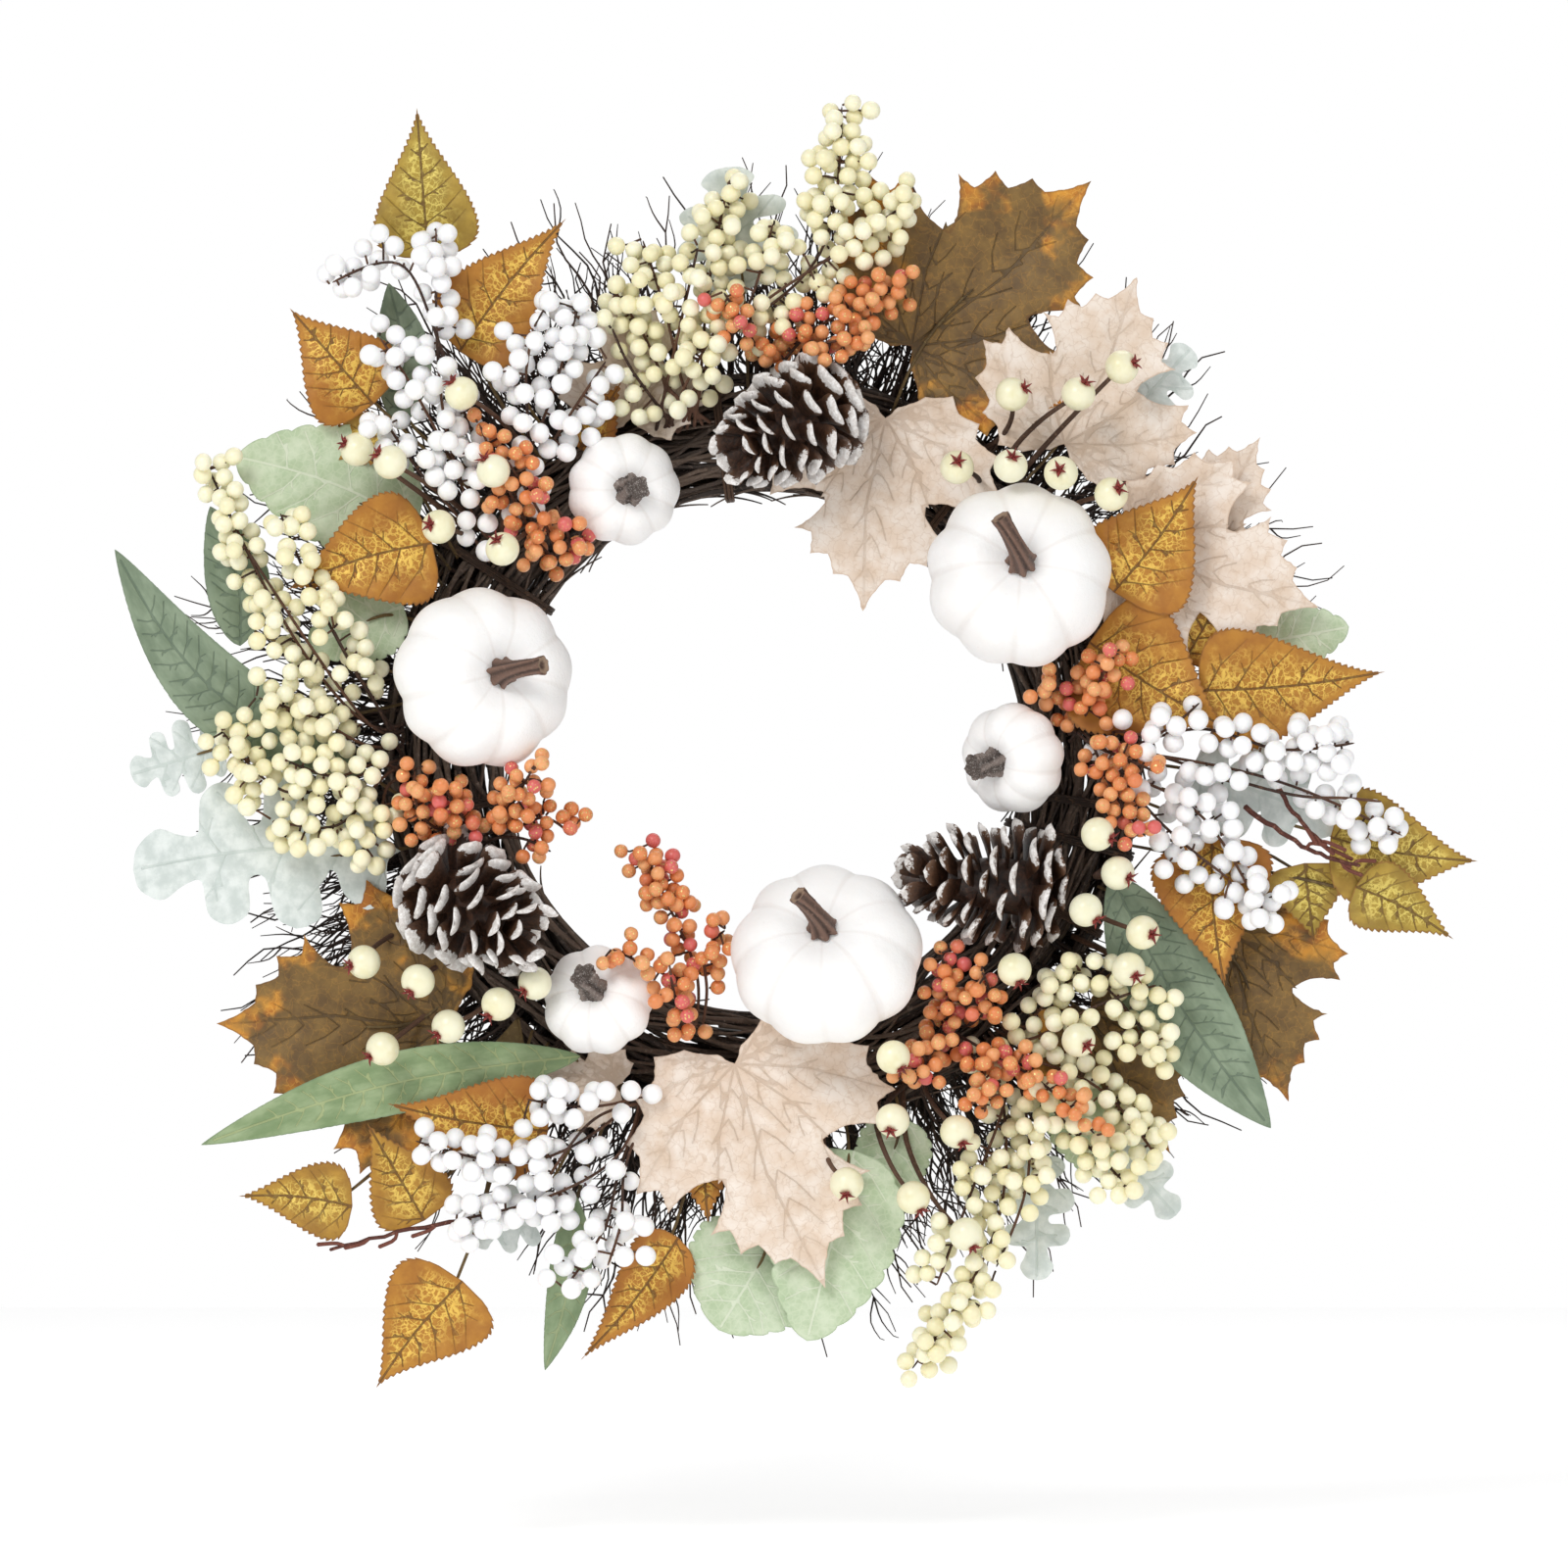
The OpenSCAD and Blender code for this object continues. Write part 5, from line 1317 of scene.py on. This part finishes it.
for where, crowd in (("top", 1.45), ("right", 1.4), ("bottom", 1.4)):
    berries(f"white_berries_{where}", "white_berry_stems", "white", "white_berry", crowd)
for where, crowd in (("top", 1.75), ("left", 1.8), ("bottom", 1.6)):
    berries(f"cream_berries_{where}", f"cream_berry_stems_{where}", "cream", "cream_berry", crowd)
    round_wires(f"cream_berry_stems_{where}", "berry_stem", "berry_stem", 0.18 * MM)
berries("orange_berries", "orange_berry_stems", "orange", "orange_berry", 1.8, glitter=1.0)
round_wires("white_berry_stems", "berry_stem", "berry_stem", 0.18 * MM)
round_wires("orange_berry_stems", "berry_stem", "berry_stem", 0.18 * MM)
curved_wires("rosehip_wires", "hip_wire", "leaf_wire", 0.12)
for node in ("gold_leaf_wires", "maple_leaf_wires", "green_leaf_wires", "frosted_leaf_wires"):
    round_wires(node, "leaf_wire", "leaf_wire", 0.2 * MM)


# ---------------------------------------------------------------- rosehips
def rosehips():
    """Ivory hips, each with a five-pointed dried star at its outer end."""
    shape, faces = ball(11)
    rng = seeded("rosehips")
    stars = [points.mean(axis=0) for points, _ in islands("rosehip_calyxes")]
    hips, calyxes = Gather(), Gather()
    for points, _ in islands("rosehips"):
        centre, radius = middle_and_radius(points)
        star = min(stars, key=lambda s: np.linalg.norm(s - centre))
        centre = off_leaves(centre, radius)
        radial = unit((centre - CENTRE) * [1, 0, 1])
        out = unit(unit(star - centre) + radial * rng.uniform(-0.2, 1.1)
                   + rng.uniform(-0.55, 0.55, 3) * [1, 0, 1])
        u, v = across(out)
        pole = shape[:, 2]
        # a little taper toward the stem and a crater under the star
        swell = 1 - 0.05 * smoothstep(0.2, -1.0, pole) - 0.10 * np.exp(-((1 - pole) / 0.02))
        local = shape * swell[:, None] * radius
        verts = centre + local[:, :1] * u + local[:, 1:2] * v + local[:, 2:] * out
        hips.add(verts, faces, tone=rng.random(), pole=pole)
        start = rng.uniform(0, 6.28)
        for k in range(5):
            turn = start + 2 * math.pi * k / 5 + rng.uniform(-0.12, 0.12)
            way = math.cos(turn) * u + math.sin(turn) * v
            flare = rng.uniform(0.25, 0.75)
            root = centre + out * radius * 0.90 + way * 0.4 * MM
            size = rng.uniform(3.2, 4.2) * MM
            knee = root + out * 1.5 * MM + way * size * 0.45
            tip = root + out * (1.5 + flare) * MM + way * size + out * flare * 0.6 * MM
            path = spline(np.array([root, knee, tip]), 7)
            radii = np.array([1.0, 1.15, 1.1, 0.9, 0.65, 0.4, 0.12]) * MM
            flat = np.array([1.0, 0.72, 0.34, 0.72, 1.0, 0.72, 0.34, 0.72])
            tube_verts, tube_faces = tube(path, radii, 8, flat)
            calyxes.add(tube_verts, tube_faces, tone=rng.random())
    hips.piece("rosehips", [MAT["hip"]], "rosehip", stands_for=("rosehips",))
    calyxes.piece("rosehip_calyxes", [MAT["calyx"]], "calyx", stands_for=("rosehip_calyxes",), sharp=50)


rosehips()


# ---------------------------------------------------------------- vine ring, bindings and twigs
STRANDS = 290
LOOSE_ENDS = 70
TWIG_COPIES = 7
SHOOTS = 4
# Twigs keep this far behind the ring's front and in front of the door side of the ring
BEHIND_LEAVES, OFF_DOOR = 4 * MM, 1.5 * MM


def rounded_square(spin, power):
    """Cosine, sine and the factor that takes them from a circle to a rounded square."""
    c, s = np.cos(spin), np.sin(spin)
    return c, s, 1 / (np.abs(c) ** power + np.abs(s) ** power) ** (1 / power)


def vine_ring():
    """Many thin strands that wind round the ring within the CAD bundle."""
    rng = seeded("vine_ring")
    g = Gather()
    mid_r, mid_y = (RING_IN + RING_OUT) / 2, (RING_BACK + RING_FRONT) / 2
    half_r, half_y = (RING_OUT - RING_IN) / 2, abs(RING_BACK - RING_FRONT) / 2
    for i in range(STRANDS):
        start, sweep = rng.uniform(0, 2 * math.pi), math.radians(rng.uniform(70, 300))
        n = max(12, int(math.degrees(sweep) / 4))
        a = np.linspace(start, start + sweep, n)
        thick = rng.uniform(0.6, 1.5) * MM
        depth = (1.0 if i % 3 else 0.55) * rng.uniform(0.82, 0.96)
        spin = (rng.uniform(0, 6.28) + (a - start) * rng.uniform(-0.8, 0.8)
                + wavy(a, rng, (0.5, 0.9, 1.7), 0.35))
        # a rounded-square path round the bundle
        c, s, square = rounded_square(spin, 5)
        r = mid_r + (half_r - thick) * depth * c * square
        y = mid_y + (half_y - thick) * depth * s * square
        path = on_ring(a, r, y)
        radii = thick * (1 + wavy(a, rng, (0.08, 0.19), 0.12)) * np.where(np.arange(n) < 2, 0.7, 1)
        verts, faces = tube(path, radii, 6)
        g.add(verts, faces, tone=rng.random())
    for i in range(LOOSE_ENDS):
        # loose ends that leave the bundle on its inner and outer rims
        a0 = rng.uniform(0, 2 * math.pi)
        inner = i % 2 == 0
        n = 9
        a = a0 + np.linspace(0, rng.uniform(0.12, 0.28) * rng.choice([-1, 1]), n)
        grow_out = np.linspace(0, 1, n) ** 1.6 * rng.uniform(2, 9) * MM
        r = RING_IN + 3 * MM - grow_out * 0.8 if inner else RING_OUT - 3 * MM + grow_out * 1.6
        y = mid_y + rng.uniform(-0.8, 0.8) * half_y + np.linspace(0, 1, n) * rng.uniform(-4, 4) * MM
        verts, faces = tube(behind_front(on_ring(a, r, y)), np.linspace(0.8, 0.3, n) * MM, 5)
        g.add(verts, faces, tone=rng.random())
    g.piece("vine_ring", [MAT["vine"]], "vine", stands_for=("vine_ring",))


def bindings():
    """Four turns of wire in place of each CAD band."""
    rng = seeded("binding_bands")
    g = Gather()
    for points, _ in islands("binding_bands"):
        angle = ring_angle(points.mean(axis=0))
        radial = np.array([math.cos(angle), 0, math.sin(angle)])
        along = np.array([-math.sin(angle), 0, math.cos(angle)])
        reach = (points - CENTRE) @ radial
        r0, r1 = reach.min() + 0.5 * MM, reach.max() - 0.5 * MM
        y0, y1 = points[:, 1].min() + 0.5 * MM, points[:, 1].max() - 0.5 * MM
        turns, per = 4, 44
        s = np.arange(turns * per + 1) / per
        spin = 2 * math.pi * s
        c, k, square = rounded_square(spin, 8)
        r = (r0 + r1) / 2 + (r1 - r0) / 2 * c * square
        y = (y0 + y1) / 2 + (y1 - y0) / 2 * k * square
        shift = (s / turns - 0.5) * 3.6 * MM + wavy(s, rng, (0.7, 1.6), 0.5) * MM
        path = CENTRE * [1, 0, 1] + r[:, None] * radial + y[:, None] * FRONT * -1 + shift[:, None] * along
        verts, faces = tube(path, np.full(len(s), 0.62 * MM), 6)
        g.add(verts, faces, tone=rng.random())
    g.piece("binding_bands", [MAT["raffia"]], "raffia", stands_for=("binding_bands",))


def behind_front(path):
    """Keeps a path's points off the door and behind the leaves."""
    path[:, 1] = np.clip(path[:, 1], RING_FRONT + BEHIND_LEAVES, RING_BACK - OFF_DOOR)
    return path


def limit(path, radius):
    """Keeps a path's points within a radius of the ring's centre."""
    flat = (path - CENTRE) * [1, 0, 1]
    far = np.linalg.norm(flat, axis=1)
    return path - flat * np.maximum(0, 1 - radius / np.maximum(far, 1e-6))[:, None]


def twig_fan(node):
    """Curly twigs and side shoots that follow the CAD twigs of one fan."""
    rng = seeded(node)
    g = Gather()
    for points, _ in islands(node):
        reach = np.hypot(points[:, 0] - CENTRE[0], points[:, 2] - CENTRE[2])
        foot = points[reach < reach.min() + 3 * MM].mean(axis=0)
        tip = points[reach > reach.max() - 3 * MM].mean(axis=0)
        way = unit(tip - foot)
        aside, over = across(way)
        length = np.linalg.norm(tip - foot)
        for copy in range(TWIG_COPIES):
            n = 16
            s = np.linspace(0, 1, n)
            run = length * (1.0 if copy == 0 else rng.uniform(0.55, 1.0))
            curl = s ** 1.4 * 14 * MM
            lean = rng.uniform(-0.13, 0.13)
            sideways = (curl * wavy(s, rng, (0.9, 0.42, 0.2), 1.0)
                        + rng.uniform(-0.24, 0.24) * run * s)
            outward = curl * wavy(s, rng, (0.8, 0.35), 0.7) + lean * run * s ** 1.5
            path = (foot + way * (run * s)[:, None] + aside * sideways[:, None]
                    + over * outward[:, None])
            path = behind_front(limit(path, reach.max() + 2 * MM))
            radii = np.linspace(1.15, 0.3, n) * MM * rng.uniform(0.75, 1.15)
            tone = rng.random()
            verts, faces = tube(path, radii, 6)
            g.add(verts, faces, tone=tone)
            for _ in range(SHOOTS):
                i = rng.integers(4, n - 2)
                start = path[i]
                onward = unit(path[i + 1] - path[i])
                turn = rng.choice([-1, 1]) * rng.uniform(0.35, 0.95)
                shoot = unit(onward * math.cos(turn) + np.cross(FRONT, onward) * math.sin(turn)
                             + FRONT * rng.uniform(-0.35, 0.35))
                bend = unit(onward + shoot * 0.6 + rng.uniform(-0.5, 0.5, 3))
                size = rng.uniform(10, 26) * MM
                mid = start + shoot * size * 0.5
                end = mid + bend * size * 0.55
                q = spline(np.array([start, mid, end]), 7)
                q = behind_front(limit(q, reach.max() + 2 * MM))
                verts, faces = tube(q, np.linspace(0.48, 0.2, 7) * MM, 5)
                g.add(verts, faces, tone=tone)
    g.piece(node, [MAT["twig"]], "twig", stands_for=(node,))


# Foot, knee and tip of each bare twig: across, up and depth from the ring's centre, in mm
BARE_TWIGS = [((-92, -203, -62), (-140, -207, -60), (-190, -219, -57)),
              ((212, -24, -60), (238, -42, -64), (262, -50, -66)),
              ((218, -4, -60), (236, -30, -66), (250, -44, -68))]


def bare_ends():
    """Reddish bare shoots where two of the white sprays run on past their berries."""
    rng = seeded("bare_twig_ends")
    g = Gather()
    for foot, knee, tip in BARE_TWIGS:
        line = np.array([foot, knee, tip], dtype=float) * MM
        path = np.stack([CENTRE[0] + line[:, 0], line[:, 2], CENTRE[2] + line[:, 1]], axis=1)
        path = spline(path, 18)
        path[1:-1] += rng.uniform(-0.6, 0.6, (16, 3)) * MM
        verts, faces = tube(path, np.linspace(1.25, 0.75, 18) * MM, 8)
        g.add(verts, faces, tone=0.3)
        for k in (9, 12, 14, 16):
            way = unit(path[k] - path[k - 1])
            shoot = unit(way + rng.uniform(-0.8, 0.8, 3) * [1, 0.4, 1])
            q = spline(np.array([path[k], path[k] + shoot * 4 * MM,
                                 path[k] + (shoot + way) * 6 * MM]), 6)
            verts, faces = tube(q, np.linspace(0.8, 0.95, 6) * MM, 7)
            g.add(verts, faces, tone=0.6)
    g.piece("bare_twig_ends", [MAT["bare"]], "berry_stem")


vine_ring()
bindings()
bare_ends()
for fan in range(1, 8):
    twig_fan(f"twig_fan_{fan}")


# ---------------------------------------------------------------- CAD nodes that stay
for node, material in (("wire_frame", "frame"), ("hanging_loop", "frame"), ("pumpkin_picks", "pick"),
                       ("cone_picks", "frame")):
    obj = NODES[node]
    obj.data.materials.clear()
    obj.data.materials.append(MAT[material])


# ---------------------------------------------------------------- floor, light and camera
def area_light(name, where, size, power, target):
    """A round lamp that points at the target."""
    light = bpy.data.lights.new(name, "AREA")
    light.shape = "DISK"
    light.size = size
    light.energy = power
    lamp = bpy.data.objects.new(name, light)
    lamp.location = where
    lamp.rotation_euler = (Vector(target) - Vector(where)).to_track_quat("-Z", "Y").to_euler()
    bpy.context.scene.collection.objects.link(lamp)


low, high = (np.array(corner) for corner in cad_box)
VIEW_WIDTH = 0.688
SOFT_LIGHT = 0.56
LENS, SENSOR = 200.0, 36.0
AIM = Vector((CENTRE[0] + 9.5 * MM, -65 * MM, CENTRE[2] - 14.2 * MM))
distance = VIEW_WIDTH * LENS / SENSOR

bpy.ops.mesh.primitive_plane_add(size=3.0, location=(0, 0.2, low[2] - 0.07))
floor = bpy.context.object
floor.name = "floor"
floor_look = Look("floor", 0.7, Emission_Color=(1, 1, 1, 1), Emission_Strength=0.32)
paper = floor_look.mix(floor_look.noise(0.4, 2), rgb("FAFAFA"), rgb("FFFFFF"))
floor.data.materials.append(floor_look.finish(paper))

area_light("key", (-0.9, -1.9, 1.1), 0.9, 22, AIM)
area_light("fill", (1.5, -1.6, 0.1), 1.4, 5, AIM)
area_light("rim", (0.3, 0.9, 1.4), 1.0, 6, AIM)

camera = bpy.data.cameras.new("camera")
camera.lens = LENS
camera.sensor_width = SENSOR
camera.clip_end = 50
eye = bpy.data.objects.new("camera", camera)
eye.location = AIM + Vector((0, -distance, 0))
eye.rotation_euler = (math.pi / 2, 0, 0)
bpy.context.scene.collection.objects.link(eye)
bpy.context.scene.camera = eye

# A white studio: the lens sees full white, and the object is lit by a softer share of it
world = bpy.data.worlds.new("world")
world.use_nodes = True
tree = world.node_tree
glow = tree.nodes["Background"]
glow.inputs["Color"].default_value = (1, 1, 1, 1)
ray = tree.nodes.new("ShaderNodeLightPath")
share = tree.nodes.new("ShaderNodeMapRange")
share.inputs["To Min"].default_value = SOFT_LIGHT
share.inputs["To Max"].default_value = 1.0
tree.links.new(ray.outputs["Is Camera Ray"], share.inputs["Value"])
tree.links.new(share.outputs["Result"], glow.inputs["Strength"])
bpy.context.scene.world = world
bpy.context.scene.view_settings.view_transform = "Standard"
